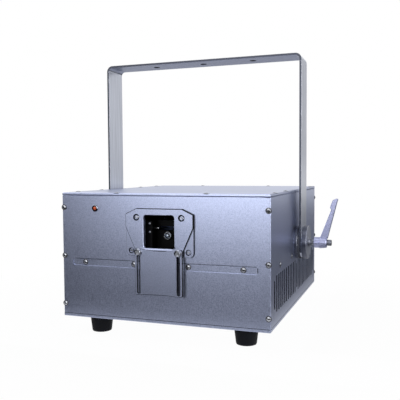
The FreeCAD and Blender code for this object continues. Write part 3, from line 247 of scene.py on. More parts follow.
def make_materials(colours):
    """One material for each slot of the record."""
    # Bead-blasted, silver anodised aluminium: satin, faintly blue, with a grain that breaks up highlights.
    # The blasting pits are near 0.1 mm; they are drawn at 1.3 mm so that they show.
    surface("anodised_case", "bead_blasted_anodised_aluminium", (colours.case_dark, colours.case_pale),
            (0.3, 0.4), 1.3, Metallic=1.0)
    # Stainless flat bar, brushed along its length: long pale and dark hairlines over a soft sheen, cut edges
    # dull and darkened with painted shade. The bar lies with its width along Y all the way, so lines that
    # change quickly along Y follow it round its bends. Hairlines of 0.2 mm are drawn at 2.5 mm so that they
    # show.
    surface("bracket_steel", "brushed_stainless_bar", (colours.bracket_dark, colours.bracket_pale),
            (0.3, 0.42), 2.5, stretch=(0.03, 1, 0.03), Metallic=1.0)
    shade_painted_sides("bracket_steel", "Y", "GREATER_THAN", 0.8, colours.bracket_edge_shade, 0.5)
    # Turned aluminium: fine rings about the pivot axis that fan the light out, and a rim darkened with
    # painted shade. A feed of 0.15 mm is drawn at 1 mm so that it shows.
    surface("turned_aluminium", "turned_aluminium", ("#AEB2BE", "#BABECA"), (0.36, 0.44), 3.2,
            centre=(0, 0, PIVOT_Z), texture="ShaderNodeTexWave", options={"Distortion": 0.3, "Detail": 1.0},
            settings={"wave_type": "RINGS", "rings_direction": "X"}, bump=0.02, Metallic=1.0)
    # Painted shade: the rims, which face away from the pivot axis, get a darker colour.
    shade_painted_sides("turned_aluminium", "X", "LESS_THAN", 0.5, linear("#5A5D69"), 0.34)
    # Pressed friction fibre: matt, dark grey, flecked with paler fibres 2 mm long.
    surface("friction_fibre", "pressed_friction_fibre", ("#2C2D33", "#4C4E57"), (0.55, 0.8), 2, bump=0.3)
    # Moulded rubber: near black and dull, with the faint bloom that such feet have in patches of 6 mm.
    surface("foot_rubber", "moulded_rubber", (colours.rubber, "#0C0E15"), (0.55, 0.75), 6, bump=0.15,
            Specular_IOR_Level=0.12)
    # Zinc casting under silver powder coat: soft metallic flake with the slight orange peel of 2 mm waves.
    surface("cast_lever", "silver_powder_coat", (colours.lever_dark, colours.lever_pale), (0.34, 0.48), 2,
            bump=0.03, Metallic=0.8)
    # Oil-blackened steel: dark, with a low sheen and rubbed patches of 3 mm.
    surface("blackened_steel", "oil_blackened_steel", ("#5A5D66", "#868993"), (0.3, 0.46), 3, Metallic=1.0)
    # Chrome plate: a clear mirror with the faint clouding of 2 mm that handling leaves.
    surface("lamp_chrome", "chrome_plate", ("#989AA2", "#B4B6BE"), (0.06, 0.16), 2, bump=0, Metallic=1.0)
    # Moulded polycarbonate lens: deep orange-red with a wet gloss, darker where the moulding is thick.
    surface("lamp_amber", "orange_polycarbonate", (colours.lamp_dark, colours.lamp_pale), (0.12, 0.2), 3,
            bump=0, Coat_Weight=0.6, Coat_Roughness=0.05)
    # Black anodised aluminium: deep satin black with a grain of 0.8 mm.
    # It is also the black of painted shade on blackened faces.
    surface("black_anodised", "black_anodised_aluminium", ("#040405", "#0A0A0C"), (0.4, 0.55), 0.8,
            Specular_IOR_Level=0.06)
    # Ground steel: bright and fairly sharp, with grinding marks 1 mm apart.
    surface("spring_steel", "ground_steel", ("#A7AAB0", "#CDD0D6"), (0.14, 0.28), 1, stretch=(1, 0.1, 1),
            bump=0.05, Metallic=1.0)
    # Coated mirror glass: a clean reflection with a faint blue cast that wanders over 8 mm.
    surface("first_surface_mirror", "coated_mirror", ("#C4D2E4", "#DCE6F0"), (0.02, 0.05), 8, bump=0,
            Metallic=1.0)
    # Glass-fibre laminate under green solder mask: glossy, with runs of copper as paler courses of 8 mm.
    surface("circuit_laminate", "green_laminate", ("#0E3B22", "#1E5B36"), (0.3, 0.45), 8,
            texture="ShaderNodeTexBrick", bump=0, Coat_Weight=0.3)
    # Bright zinc plate on steel: silver, slightly blue, with a mottled sheen in spots of 4 mm.
    surface("zinc_plate", "bright_zinc_plate", ("#9EA1A9", "#B8BBC3"), (0.24, 0.34), 4, bump=0, Metallic=1.0)
    # Moulded black ABS: even, low sheen, with a spark-eroded texture of 0.8 mm.
    # It is also the black of the painted shade rings and socket cores at the case screws.
    surface("black_plastic", "moulded_black_ABS", ("#141416", "#222226"), (0.42, 0.6), 0.8, bump=0.2)
    # Nickelled brass contacts: pale yellow metal with dull spots of 1 mm.
    surface("contact_brass", "nickelled_brass", ("#A89A6C", "#D3C79C"), (0.2, 0.36), 1, bump=0, Metallic=1.0)
    # Tinted acrylic over an unlit liquid crystal display: near black green with a sharp gloss.
    surface("display_glass", "tinted_acrylic", ("#0E1613", "#18241F"), (0.08, 0.14), 15, bump=0,
            Coat_Weight=0.5, Coat_Roughness=0.03)


# Meshes and pieces

# Distances within which points touch, are one point, or are level
NEAR = 0.1 * MM
WELD = 0.002 * MM
LEVEL = 0.0001 * MM

# Angles between faces: one flat face, an edge to break, a crease in turned work, and a run of blended faces
FLAT = math.radians(0.4)
SHARP = math.radians(28)
CREASE = math.radians(30)
BLENDED = math.cos(math.radians(50))

CORNER_STEPS = 4
TO_FRONT = Matrix.Rotation(math.radians(90), 4, "X")


def outwards(side):
    """Aims an axis away from the case, to one side."""
    return Matrix.Rotation(math.radians(90 * side), 4, "Y")


def new_object(name, data):
    """An object in the scene, at the origin."""
    made = bpy.data.objects.new(name, data)
    bpy.context.scene.collection.objects.link(made)
    return made


def settled(mesh, name):
    """A bmesh as mesh data. The bmesh is used up."""
    data = bpy.data.meshes.new(name)
    mesh.to_mesh(data)
    mesh.free()
    return data


def finished(mesh, name, body, slot, nodes=(), blend=False):
    """Makes a piece of a bmesh: its place is in the mesh, and it rides on a body."""
    normals = blended_normals(mesh) if blend else []
    data = settled(mesh, name)
    if normals:
        data.normals_split_custom_set(normals)
    dressed(data, name, body, slot, nodes)


def shown(mesh, node, blend=False):
    """Makes the piece that shows a node of the frame."""
    finished(mesh, f"{node}_dressed", BODY_OF[node], SLOT_OF[node], [node], blend)


def blended_normals(mesh):
    """A normal for each corner that leans to the broadest face there.

    Flat faces stay flat, and bevels run into them.
    """
    mesh.normal_update()
    areas = {face: face.calc_area() for face in mesh.faces}
    normals = []
    for face in mesh.faces:
        face.smooth = True
        for corner in face.loops:
            near = [other for other in corner.vert.link_faces if other.normal.dot(face.normal) > BLENDED]
            normals.append(sum((other.normal * areas[other] for other in near), Vector()).normalized())
    return normals


def dressed(data, name, body, slot, nodes=()):
    """Makes a piece of mesh data. Faces that were blackened, mostly as painted shade, get the black finish.
    """
    data.materials.append(materials[slot])
    if any(polygon.material_index for polygon in data.polygons):
        data.materials.append(materials["black_anodised"])
    piece = new_object(name, data)
    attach(piece, body)
    if nodes:
        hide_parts(*nodes)


def merged_copy(node):
    """A node's triangles joined into one closed mesh whose flat faces are whole."""
    mesh = bmesh.new()
    mesh.from_mesh(frame["nodes"][node].data)
    bmesh.ops.remove_doubles(mesh, verts=mesh.verts, dist=WELD)
    for face in mesh.faces:
        face.material_index = 0
    mesh.normal_update()
    bmesh.ops.dissolve_limit(mesh, angle_limit=FLAT, verts=mesh.verts, edges=mesh.edges)
    mesh.normal_update()
    return mesh


def break_edges(mesh, width, segments=2, chosen=None):
    """Bevels the sharp edges, or those of them that are chosen. The bevels shade smoothly."""
    mesh.normal_update()
    sharp = []
    for edge in mesh.edges:
        if edge.is_manifold and edge.calc_face_angle() > SHARP and (chosen is None or chosen(edge)):
            sharp.append(edge)
    made = bmesh.ops.bevel(mesh, geom=sharp, offset=width, segments=segments, profile=0.5, affect="EDGES",
                           clamp_overlap=False)
    for face in made["faces"]:
        face.smooth = True
    mesh.normal_update()
    return mesh


def blacken(mesh, chosen):
    """Marks the chosen faces for the black finish: painted shade in most places, and the real black inserts
    of the rear sockets.
    """
    for face in mesh.faces:
        if chosen(face):
            face.material_index = 1


def divide(mesh, places, across=Vector((0, 0, 1))):
    """Divides the faces at some places along an axis, so that a test can tell them apart."""
    for place in places:
        bmesh.ops.bisect_plane(mesh, geom=mesh.verts[:] + mesh.edges[:] + mesh.faces[:],
                               plane_co=place * across, plane_no=across)


def softened(node, width, black=None):
    """A node shown with its edges broken, and with the chosen faces black."""
    mesh = break_edges(merged_copy(node), width)
    if black:
        blacken(mesh, black)
    shown(mesh, node, blend=True)


def joined(mesh, other):
    """Adds another mesh, which is used up."""
    data = settled(other, "joining")
    mesh.from_mesh(data)
    bpy.data.meshes.remove(data)


def turned(mesh, profile, turn, place, segments):
    """Adds a closed turned solid, creased where it is sharp.

    The profile is (distance along the axis, radius), in order, and turn aims the axis.
    """
    rings = []
    for distance, radius in profile:
        ring = []
        for step in range(segments if radius > 0 else 1):
            angle = 2 * math.pi * step / segments
            point = Vector((radius * math.cos(angle), radius * math.sin(angle), distance))
            ring.append(mesh.verts.new(Vector(place) + turn @ point))
        rings.append(ring)
    faces = []
    for first, second in zip(rings, rings[1:] + rings[:1]):
        if len(first) == 1 and len(second) == 1:
            continue
        for step in range(segments):
            following = (step + 1) % segments
            corners = [first[step % len(first)], first[following % len(first)],
                       second[following % len(second)], second[step % len(second)]]
            faces.append(mesh.faces.new(list(dict.fromkeys(corners))))
    bmesh.ops.recalc_face_normals(mesh, faces=faces)
    mesh.normal_update()
    for face in faces:
        face.smooth = True
        for edge in face.edges:
            edge.smooth = edge.is_manifold and edge.calc_face_angle() < CREASE


def extruded(mesh, outline, turn, place, depth):
    """Adds a prism over an outline in its own XY, from zero to depth along its Z."""
    corners = [mesh.verts.new(Vector(place) + turn @ Vector((x, y, 0))) for x, y in outline]
    grown_part = bmesh.ops.extrude_face_region(mesh, geom=[mesh.faces.new(corners)])
    moved = [item for item in grown_part["geom"] if isinstance(item, bmesh.types.BMVert)]
    bmesh.ops.translate(mesh, verts=moved, vec=turn.to_3x3() @ Vector((0, 0, depth)))
    faces = list({face for vert in corners + moved for face in vert.link_faces})
    bmesh.ops.recalc_face_normals(mesh, faces=faces)


def socketed(mesh, profile, socket_radius, socket_depth, turn, place, segments):
    """A turned head. Its last profile point is the rim of its top, which has a hexagon socket in it."""
    rim_height, rim_radius = profile[-1]
    turned(mesh, profile, turn, place, segments)
    axis = turn.to_3x3() @ Vector((0, 0, 1))
    top = Vector(place) + axis * rim_height

    def at_top(part):
        return all(abs((vert.co - top).dot(axis)) < LEVEL for vert in part.verts)

    def in_rim(part):
        return all((vert.co - top).length < rim_radius * 1.001 for vert in part.verts)

    lids = [face for face in mesh.faces if at_top(face) and in_rim(face)]
    bmesh.ops.delete(mesh, geom=lids, context="FACES_ONLY")
    rim = [edge for edge in mesh.edges if edge.is_boundary and at_top(edge)]
    mouth = []
    for step in range(6):
        angle = math.radians(60 * step)
        corner = Vector((socket_radius * math.cos(angle), socket_radius * math.sin(angle), 0))
        mouth.append(mesh.verts.new(top + turn.to_3x3() @ corner))
    floor = [mesh.verts.new(vert.co - axis * socket_depth) for vert in mouth]
    lips = [mesh.edges.new((mouth[step], mouth[(step + 1) % 6])) for step in range(6)]
    bmesh.ops.triangle_fill(mesh, use_beauty=True, edges=rim + lips, normal=axis)
    for step in range(6):
        following = (step + 1) % 6
        mesh.faces.new((mouth[step], mouth[following], floor[following], floor[step]))
    mesh.faces.new(floor)
    bmesh.ops.recalc_face_normals(mesh, faces=mesh.faces)


def cut_away(mesh, tools):
    """A mesh less some tool meshes. Both are used up, and a new mesh comes back."""
    holders = [new_object("cutting", settled(part, "cutting")) for part in (mesh, tools)]
    modifier = holders[0].modifiers.new("cut", "BOOLEAN")
    modifier.object = holders[1]
    modifier.solver = "EXACT"
    seen = holders[0].evaluated_get(bpy.context.evaluated_depsgraph_get())
    data = bpy.data.meshes.new_from_object(seen)
    left = bmesh.new()
    left.from_mesh(data)
    bpy.data.meshes.remove(data)
    for holder in holders:
        old = holder.data
        bpy.data.objects.remove(holder)
        bpy.data.meshes.remove(old)
    return left


# Repeated fasteners and pins, made by Geometry Nodes

trees = {}
HEAD_SIZES = ("Head radius", "Wall height", "Crown height", "Socket radius", "Socket depth")


def socket_named(tree, name):
    return next(item.identifier for item in tree.interface.items_tree if item.name == name)


def new_tree(name, sizes):
    """An empty tree with points in, geometry out, named sizes and a finish."""
    tree = bpy.data.node_groups.new(name, "GeometryNodeTree")
    tree.interface.new_socket("Points", in_out="INPUT", socket_type="NodeSocketGeometry")
    for size in sizes:
        tree.interface.new_socket(size, in_out="INPUT", socket_type="NodeSocketFloat")
    tree.interface.new_socket("Finish", in_out="INPUT", socket_type="NodeSocketMaterial")
    tree.interface.new_socket("Geometry", in_out="OUTPUT", socket_type="NodeSocketGeometry")
    return tree, add(tree, "NodeGroupInput").outputs


def raised(tree, geometry, height):
    """Geometry moved along Z by a socket's value."""
    offset = add(tree, "ShaderNodeCombineXYZ", {"Z": height})
    moved = add(tree, "GeometryNodeTransform", {"Geometry": geometry, "Translation": offset.outputs[0]})
    return moved.outputs["Geometry"]


def creased(tree, geometry):
    """Smooth shading, with creases along edges that turn by more than 35 degrees."""
    smooth = add(tree, "GeometryNodeSetShadeSmooth", {"Geometry": geometry, "Shade Smooth": True})
    bend = add(tree, "GeometryNodeInputMeshEdgeAngle")
    steep = add(tree, "FunctionNodeCompare", {0: bend.outputs["Unsigned Angle"], 1: math.radians(35)},
                operation="GREATER_THAN")
    sharp = add(tree, "GeometryNodeSetShadeSmooth", {
        "Geometry": smooth.outputs[0], "Selection": steep.outputs[0], "Shade Smooth": False}, domain="EDGE")
    return sharp.outputs[0]


def scattered(tree, given, shape):
    """Ends a tree: the shape stands on every point, faces outwards, is turned at random, and becomes real."""
    facing = add(tree, "GeometryNodeInputNamedAttribute", {"Name": "facing"}, data_type="FLOAT_VECTOR")
    aim = add(tree, "FunctionNodeAlignRotationToVector", {"Vector": facing.outputs["Attribute"]}, axis="Z")
    copies = add(tree, "GeometryNodeInstanceOnPoints", {
        "Points": given["Points"], "Instance": shape, "Rotation": aim.outputs["Rotation"]})
    angle = add(tree, "FunctionNodeRandomValue", {0: (0, 0, 0), 1: (0, 0, math.tau), "Seed": 7},
                data_type="FLOAT_VECTOR")
    spun = add(tree, "GeometryNodeRotateInstances", {
        "Instances": copies.outputs["Instances"], "Rotation": angle.outputs[0]})
    real = add(tree, "GeometryNodeRealizeInstances", {"Geometry": spun.outputs["Instances"]})
    coated = add(tree, "GeometryNodeSetMaterial", {
        "Geometry": real.outputs["Geometry"], "Material": given["Finish"]})
    add(tree, "NodeGroupOutput", {"Geometry": coated.outputs["Geometry"]})
    return tree


def button_head_tree():
    """Screw heads: a straight wall under a crown cut from a ball, with a hexagon socket in it."""
    tree, given = new_tree("button_head_screws", HEAD_SIZES)
    radius = given["Head radius"]
    crown = given["Crown height"]
    top = add(tree, "ShaderNodeMath", {0: given["Wall height"], 1: crown}, operation="ADD").outputs[0]
    # The ball whose cap has the head's radius and the crown's height: (r r + h h) / 2 h
    crown_square = add(tree, "ShaderNodeMath", {0: crown, 1: crown}, operation="MULTIPLY")
    squares = add(tree, "ShaderNodeMath", {0: radius, 1: radius, 2: crown_square.outputs[0]},
                  operation="MULTIPLY_ADD")
    twice = add(tree, "ShaderNodeMath", {0: crown, 1: 2.0}, operation="MULTIPLY")
    ball_radius = add(tree, "ShaderNodeMath", {0: squares.outputs[0], 1: twice.outputs[0]},
                      operation="DIVIDE").outputs[0]
    ball_height = add(tree, "ShaderNodeMath", {0: top, 1: ball_radius}, operation="SUBTRACT")
    ball = add(tree, "GeometryNodeMeshUVSphere", {"Segments": 32, "Rings": 48, "Radius": ball_radius})
    wall_depth = add(tree, "ShaderNodeMath", {0: top, 1: 2.0}, operation="MULTIPLY")
    wall = add(tree, "GeometryNodeMeshCylinder", {
        "Vertices": 32, "Radius": radius, "Depth": wall_depth.outputs[0]})
    blank = add(tree, "GeometryNodeMeshBoolean", operation="INTERSECT", solver="EXACT")
    for shape, height in ((ball, ball_height.outputs[0]), (wall, top)):
        tree.links.new(raised(tree, shape.outputs["Mesh"], height), blank.inputs["Mesh 2"])
    key_depth = add(tree, "ShaderNodeMath", {0: given["Socket depth"], 1: 2.0}, operation="MULTIPLY")
    key = add(tree, "GeometryNodeMeshCylinder", {
        "Vertices": 6, "Radius": given["Socket radius"], "Depth": key_depth.outputs[0]})
    head = add(tree, "GeometryNodeMeshBoolean", {
        "Mesh 1": blank.outputs["Mesh"], "Mesh 2": raised(tree, key.outputs["Mesh"], top)},
        operation="DIFFERENCE", solver="EXACT")
    return scattered(tree, given, creased(tree, head.outputs["Mesh"]))


def shade_disc_tree():
    """Flat discs, used as painted shade: rings that stand out beyond the screw heads, and cores in their
    sockets.
    """
    tree, given = new_tree("flat_washers", ["Radius", "Height"])
    disc = add(tree, "GeometryNodeMeshCylinder", {
        "Vertices": 40, "Radius": given["Radius"], "Depth": given["Height"]})
    half = add(tree, "ShaderNodeMath", {0: given["Height"], 1: 0.5}, operation="MULTIPLY")
    return scattered(tree, given, creased(tree, raised(tree, disc.outputs["Mesh"], half.outputs[0])))


def pin_tree():
    """Round contact pins with a short tapered tip."""
    tree, given = new_tree("contact_pins", ["Radius", "Length"])
    radius = given["Radius"]
    full = given["Length"]
    half = add(tree, "ShaderNodeMath", {0: full, 1: 0.5}, operation="MULTIPLY").outputs[0]
    tip_radius = add(tree, "ShaderNodeMath", {0: radius, 1: 0.45}, operation="MULTIPLY").outputs[0]
    shank = add(tree, "GeometryNodeMeshCylinder", {"Vertices": 16, "Radius": radius, "Depth": full})
    tip = add(tree, "GeometryNodeMeshCone", {
        "Vertices": 16, "Radius Bottom": radius, "Radius Top": tip_radius, "Depth": radius})
    both = add(tree, "GeometryNodeJoinGeometry")
    for part, height in ((shank, half), (tip, full)):
        tree.links.new(raised(tree, part.outputs["Mesh"], height), both.inputs["Geometry"])
    return scattered(tree, given, creased(tree, both.outputs["Geometry"]))


def grown(name, tree, slot, spots, sizes):
    """One piece on the case: spots are (place, facing) pairs, and sizes are the tree's named inputs."""
    data = bpy.data.meshes.new(name + "_points")
    data.from_pydata([place for place, facing in spots], [], [])
    attribute = data.attributes.new("facing", "FLOAT_VECTOR", "POINT")
    for item, (place, facing) in zip(attribute.data, spots):
        item.vector = facing
    holder = new_object(name + "_points", data)
    modifier = holder.modifiers.new("pattern", "NODES")
    modifier.node_group = trees[tree]
    for size, value in sizes.items():
        modifier[socket_named(trees[tree], size)] = value
    modifier[socket_named(trees[tree], "Finish")] = materials[slot]
    seen = holder.evaluated_get(bpy.context.evaluated_depsgraph_get())
    mesh = bpy.data.meshes.new_from_object(seen)
    mesh.materials.clear()
    holder.modifiers.remove(modifier)
    bpy.data.objects.remove(holder)
    if not mesh.polygons:
        raise RuntimeError(f"{name} came out empty")
    dressed(mesh, name, "housing", slot)


def screw_sizes(share=1.0):
    """The case screw's sizes, or a share of them for a smaller screw."""
    screws = bpy.context.scene.projector_screws
    return {size: getattr(screws, size.lower().replace(" ", "_")) * share for size in HEAD_SIZES}


# Operators, one for each group of pieces

class BuildFinishes(bpy.types.Operator):
    """Make the materials and give each CAD solid the one its record slot asks for"""
    bl_idname = "projector.finishes"
    bl_label = "Finishes"

    def execute(self, context):
        make_materials(context.scene.projector_colours)
        for name, node in frame["nodes"].items():
            node.data.materials.clear()
            node.data.materials.append(materials[SLOT_OF[name]])
        trees["screws"] = button_head_tree()
        trees["washers"] = shade_disc_tree()
        trees["pins"] = pin_tree()
        return {"FINISHED"}


class BuildCase(bpy.types.Operator):
    """Break the edges of the case plates, and paint shade into their seams, groove and slots"""
    bl_idname = "projector.case"
    bl_label = "Case plates"

    def execute(self, context):
        edges = context.scene.projector_edges
        lid = break_edges(merged_copy("top_cover"), edges.corner, CORNER_STEPS, self.is_long)
        shown(break_edges(lid, edges.plate), "top_cover", blend=True)
        base = break_edges(merged_copy("bottom_plate"), edges.plate, chosen=self.is_soft)
        shown(base, "bottom_plate", blend=True)
        for node in ("front_panel", "rear_panel", "left_side_panel", "right_side_panel"):
            self.panel(node, edges)
        return {"FINISHED"}

    def panel(self, node, edges):
        """An upright plate, with painted shade in its seams, in its groove and in its vent slots. The front
        one has no painted seam shade under the lid.
        """
        low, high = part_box(node)
        seams = (low.z + edges.seam, high.z if node == "front_panel" else high.z - edges.seam)
        # Painted shadow in the groove: a strip under its upper wall, and one at its right end.
        line = GROOVE_TOP - edges.groove_shadow
        end = GROOVE_END - 1.5 * edges.groove_shadow

        def is_painted_dark(face):
            centre = face.calc_center_median()
            in_shade = line < centre.z < GROOVE_TOP or end < centre.x < GROOVE_END
            in_groove_shadow = in_shade and abs(centre.y - GROOVE_FLOOR) < NEAR
            # A strip of painted shade along the seam at the plate's foot and top.
            in_seam_shade = not seams[0] < centre.z < seams[1] and abs(face.normal.z) < 0.2
            return in_groove_shadow or in_seam_shade

        mesh = break_edges(merged_copy(node), edges.corner, CORNER_STEPS, self.at_corner)
        break_edges(mesh, edges.groove, 1, self.at_groove)
        break_edges(mesh, edges.plate, chosen=self.is_soft)
        divide(mesh, (*seams, line))
        if node == "front_panel":
            divide(mesh, [end], Vector((1, 0, 0)))
        blacken(mesh, is_painted_dark)
        if "side" in node:
            # The walls of the vent slots are painted black as shade.
            blacken(mesh, self.in_slot_shade)
        shown(mesh, node, blend=True)

    def is_long(self, edge):
        """True for the long edges of the lid, and false for those of its holes."""
        shortest = 150 * MM
        return edge.calc_length() > shortest

    def at_corner(self, edge):
        """True for the upright edges at the front and rear corners of the case."""
        for vert in edge.verts:
            if abs(vert.co.x) <= SIDE - NEAR or FRONT + NEAR <= vert.co.y <= REAR - NEAR:
                return False
        rise = edge.verts[0].co.z - edge.verts[1].co.z
        return abs(rise) > 0.99 * edge.calc_length()

    def at_groove(self, edge):
        """True for the edges of the groove across the front panel."""
        deep = 2 * MM
        half_height = 7 * MM
        half_width = GROOVE_END + 2.5 * MM
        ends = [vert.co for vert in edge.verts]
        return all(abs(end.y - FRONT) < deep and abs(end.z - DECK_Z) < half_height and abs(end.x) < half_width
                   for end in ends)

    def is_soft(self, edge):
        """False for the edges of the groove, and for those where the panels stand on the bottom plate."""
        on_base = all(abs(vert.co.z - PANEL_FOOT) <= NEAR for vert in edge.verts)
        return not on_base and not self.at_groove(edge)

    def in_slot_shade(self, face):
        """True for the walls of the vent slots, painted black as the shade between the bars."""
        half_row = 216 * MM
        row_foot = 45 * MM
        row_top = 125 * MM
        centre = face.calc_center_median()
        return abs(face.normal.x) < 0.9 and abs(centre.y) < half_row and row_foot < centre.z < row_top


class BuildCaseScrews(bpy.types.Operator):
    """Set the small screws along the edges of the plates, in the groove and on the sides"""
    bl_idname = "projector.case_screws"
    bl_label = "Case screws"

    edge_inset: length("Edge inset", 3.4, "Screws from the plate's edge")

    def execute(self, context):
        column = SIDE - self.edge_inset
        spots = []
        for x in (-column, column):
            for z in (56.5, 143, 229.4):
                spots.append(((x, FRONT, z * MM), (0, -1, 0)))
                spots.append(((x, REAR, z * MM), (0, 1, 0)))
            for y in (-180, -91, 91, 180):
                spots.append(((x, y * MM, ROOF), (0, 0, 1)))
        for y in (FRONT + self.edge_inset, REAR - self.edge_inset):
            for x in (-82, 82):
                spots.append(((x * MM, y, ROOF), (0, 0, 1)))
        for x in (-145, -50, 50, 145):
            spots.append(((x * MM, GROOVE_FLOOR, DECK_Z), (0, -1, 0)))
        for side in SIDES.values():
            for y in (-154, -50, 50, 154):
                spots.append(((side * SIDE, y * MM, DECK_Z), (side, 0, 0)))
        grown("case_screws", "screws", "zinc_plate", spots, screw_sizes())
        screws = context.scene.projector_screws
        # Black rings under the heads are painted shade around the screws.
        grown("case_washers", "washers", "black_plastic", spots,
              {"Radius": screws.shade_ring_radius, "Height": screws.shade_ring_height})
        # A black core inside each head is painted shade on the floor of its socket.
        floor = screws.wall_height + screws.crown_height - screws.socket_depth
        grown("case_socket_shade", "washers", "black_plastic", spots,
              {"Radius": screws.socket_radius * 0.86, "Height": floor + 0.1 * MM})
        return {"FINISHED"}


class BuildAperture(bpy.types.Operator):
    """Dress the layered aperture: plates, flush screws, sliding mask and thumbscrews"""
    bl_idname = "projector.aperture"
    bl_label = "Aperture"

    # The dark edge is a black band of painted shade around the plates.
    edge: length("Dark edge", 1.1, "Width of the dark broken edge on the guide plate")
    flush_radius: length("Flush screw", 3.9, "Radius of the flush screws' heads")
    flush_gap: length("Gap", 0.7, "Gap around a flush screw's head")
    flush_depth: length("Depth", 1.6, "Depth of a flush screw's seat")
    sill: length("Sill", 2.4, "Width of the bevel under the window")
    ribs: IntProperty(name="Ribs", description="Ribs around a thumbscrew's head", default=26, min=8)

    # Where a plate's flush screws stand, in millimetres to each side and up
    seats = {"aperture_base_plate": (52.1, 157.7), "aperture_guide_plate": (41.1, 214.9)}
    # Each plate's share of the width of the black edge of painted shade
    shade_edge_share = {"aperture_base_plate": 0.4, "aperture_guide_plate": 1, "beam_mask": 0.7}

    def execute(self, context):
        for node in self.shade_edge_share:
            self.layered_plate(node)
        self.flush_screws()
        for label in SIDES:
            self.thumbscrew(label)
        return {"FINISHED"}

    def flush_places(self, node):
        """Places of a plate's flush screws, on its face."""
        x, z = self.seats[node]
        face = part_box(node)[0].y
        return [Vector((side * x * MM, face, z * MM)) for side in SIDES.values()]

    def layered_plate(self, node):
        """One of the three plates, with seats for its flush screws, a bright sill, and black edges of painted
        shade; the mask's back is painted shade too.
        """
        mesh = merged_copy(node)
        if node == "aperture_guide_plate":
            break_edges(mesh, self.sill, 1, self.at_sill)
            break_edges(mesh, self.sill * 0.2, 1, self.at_window)
        if node in self.seats:
            tools = bmesh.new()
            seat = self.flush_radius + self.flush_gap
            above = 1 * MM
            profile = [(-self.flush_depth, 0), (-self.flush_depth, seat), (above, seat), (above, 0)]
            for place in self.flush_places(node):
                turned(tools, profile, TO_FRONT, place, segments=40)
            mesh = cut_away(mesh, tools)
        break_edges(mesh, self.edge * self.shade_edge_share[node], 1, self.off_window)
        # Walls and broken edges are painted black as shade; on the mask, its back as well.
        blacken(mesh, self.is_shaded_edge if node in self.seats else self.is_shaded_off_front)
        shown(mesh, node)

    def near_window(self, point):
        half_width = 32 * MM
        foot = 159.5 * MM
        top = 223 * MM
        return abs(point.x) < half_width and foot < point.z < top

    def off_window(self, edge):
        return not self.near_window(edge.verts[0].co)

    def at_window(self, edge):
        return all(self.near_window(vert.co) and vert.co.y < GUIDE_FACE + NEAR for vert in edge.verts)

    def at_sill(self, edge):
        sill_top = 167.5 * MM
        return self.at_window(edge) and all(vert.co.z < sill_top for vert in edge.verts)

    def is_shaded_edge(self, face):
        return abs(face.normal.y) < 0.9 and not self.near_window(face.calc_center_median())

    def is_shaded_off_front(self, face):
        return face.normal.y > -0.9

    def flush_screws(self):
        mesh = bmesh.new()
        radius = self.flush_radius
        socket_radius = radius * 0.52
        socket_depth = 1.2 * MM
        profile = [(-self.flush_depth, radius * 0.8), (-0.5 * MM, radius), (-0.1 * MM, radius * 0.92)]
        for node in self.seats:
            for place in self.flush_places(node):
                socketed(mesh, profile, socket_radius, socket_depth, TO_FRONT, place, segments=32)
        finished(mesh, "flush_screws", "housing", "zinc_plate")

    def thumbscrew(self, label):
        """A ribbed head with a hexagon socket on a washer, and the shank that runs in the mask's slot."""
        node = f"{label}_thumbscrew"
        low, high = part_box(node)
        centre = middle(node)
        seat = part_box("beam_mask")[0].y - 0.2 * MM
        place = (centre.x, seat, centre.z)
        radius = (high.x - low.x) / 2
        rim = radius * 0.95
        ribbed = radius * 0.88
        rib_depth = 0.04
        washer = 1 * MM
        soft = 0.2 * MM
        shank = 2 * MM
        socket_radius = 3.1 * MM
        socket_depth = 3 * MM
        reach = seat - low.y
        mesh = bmesh.new()
        disc = [(0, 0), (0, radius - soft), (soft, radius), (washer - soft, radius), (washer, radius - soft),
                (washer, 0)]
        turned(mesh, disc, TO_FRONT, place, segments=48)
        head = bmesh.new()
        profile = [(washer, radius * 0.8), (washer + 0.3 * MM, rim), (reach - 0.9 * MM, rim),
                   (reach, radius * 0.82)]
        socketed(head, profile, socket_radius, socket_depth, TO_FRONT, place, segments=2 * self.ribs)
        # Every second line of the rim is pulled in, which leaves ribs.
        for vert in head.verts:
            spoke = Vector((vert.co.x - centre.x, 0, vert.co.z - centre.z))
            step = round(math.atan2(spoke.z, spoke.x) / math.tau * 2 * self.ribs)
            if spoke.length > ribbed and step % 2:
                vert.co -= spoke * rib_depth
        joined(mesh, head)
        pin = [(0, 0), (0, shank), (seat - high.y, shank), (seat - high.y, 0)]
        turned(mesh, pin, TO_FRONT, place, segments=24)
        finished(mesh, f"{node}_dressed", BODY_OF[node], "zinc_plate", [node])


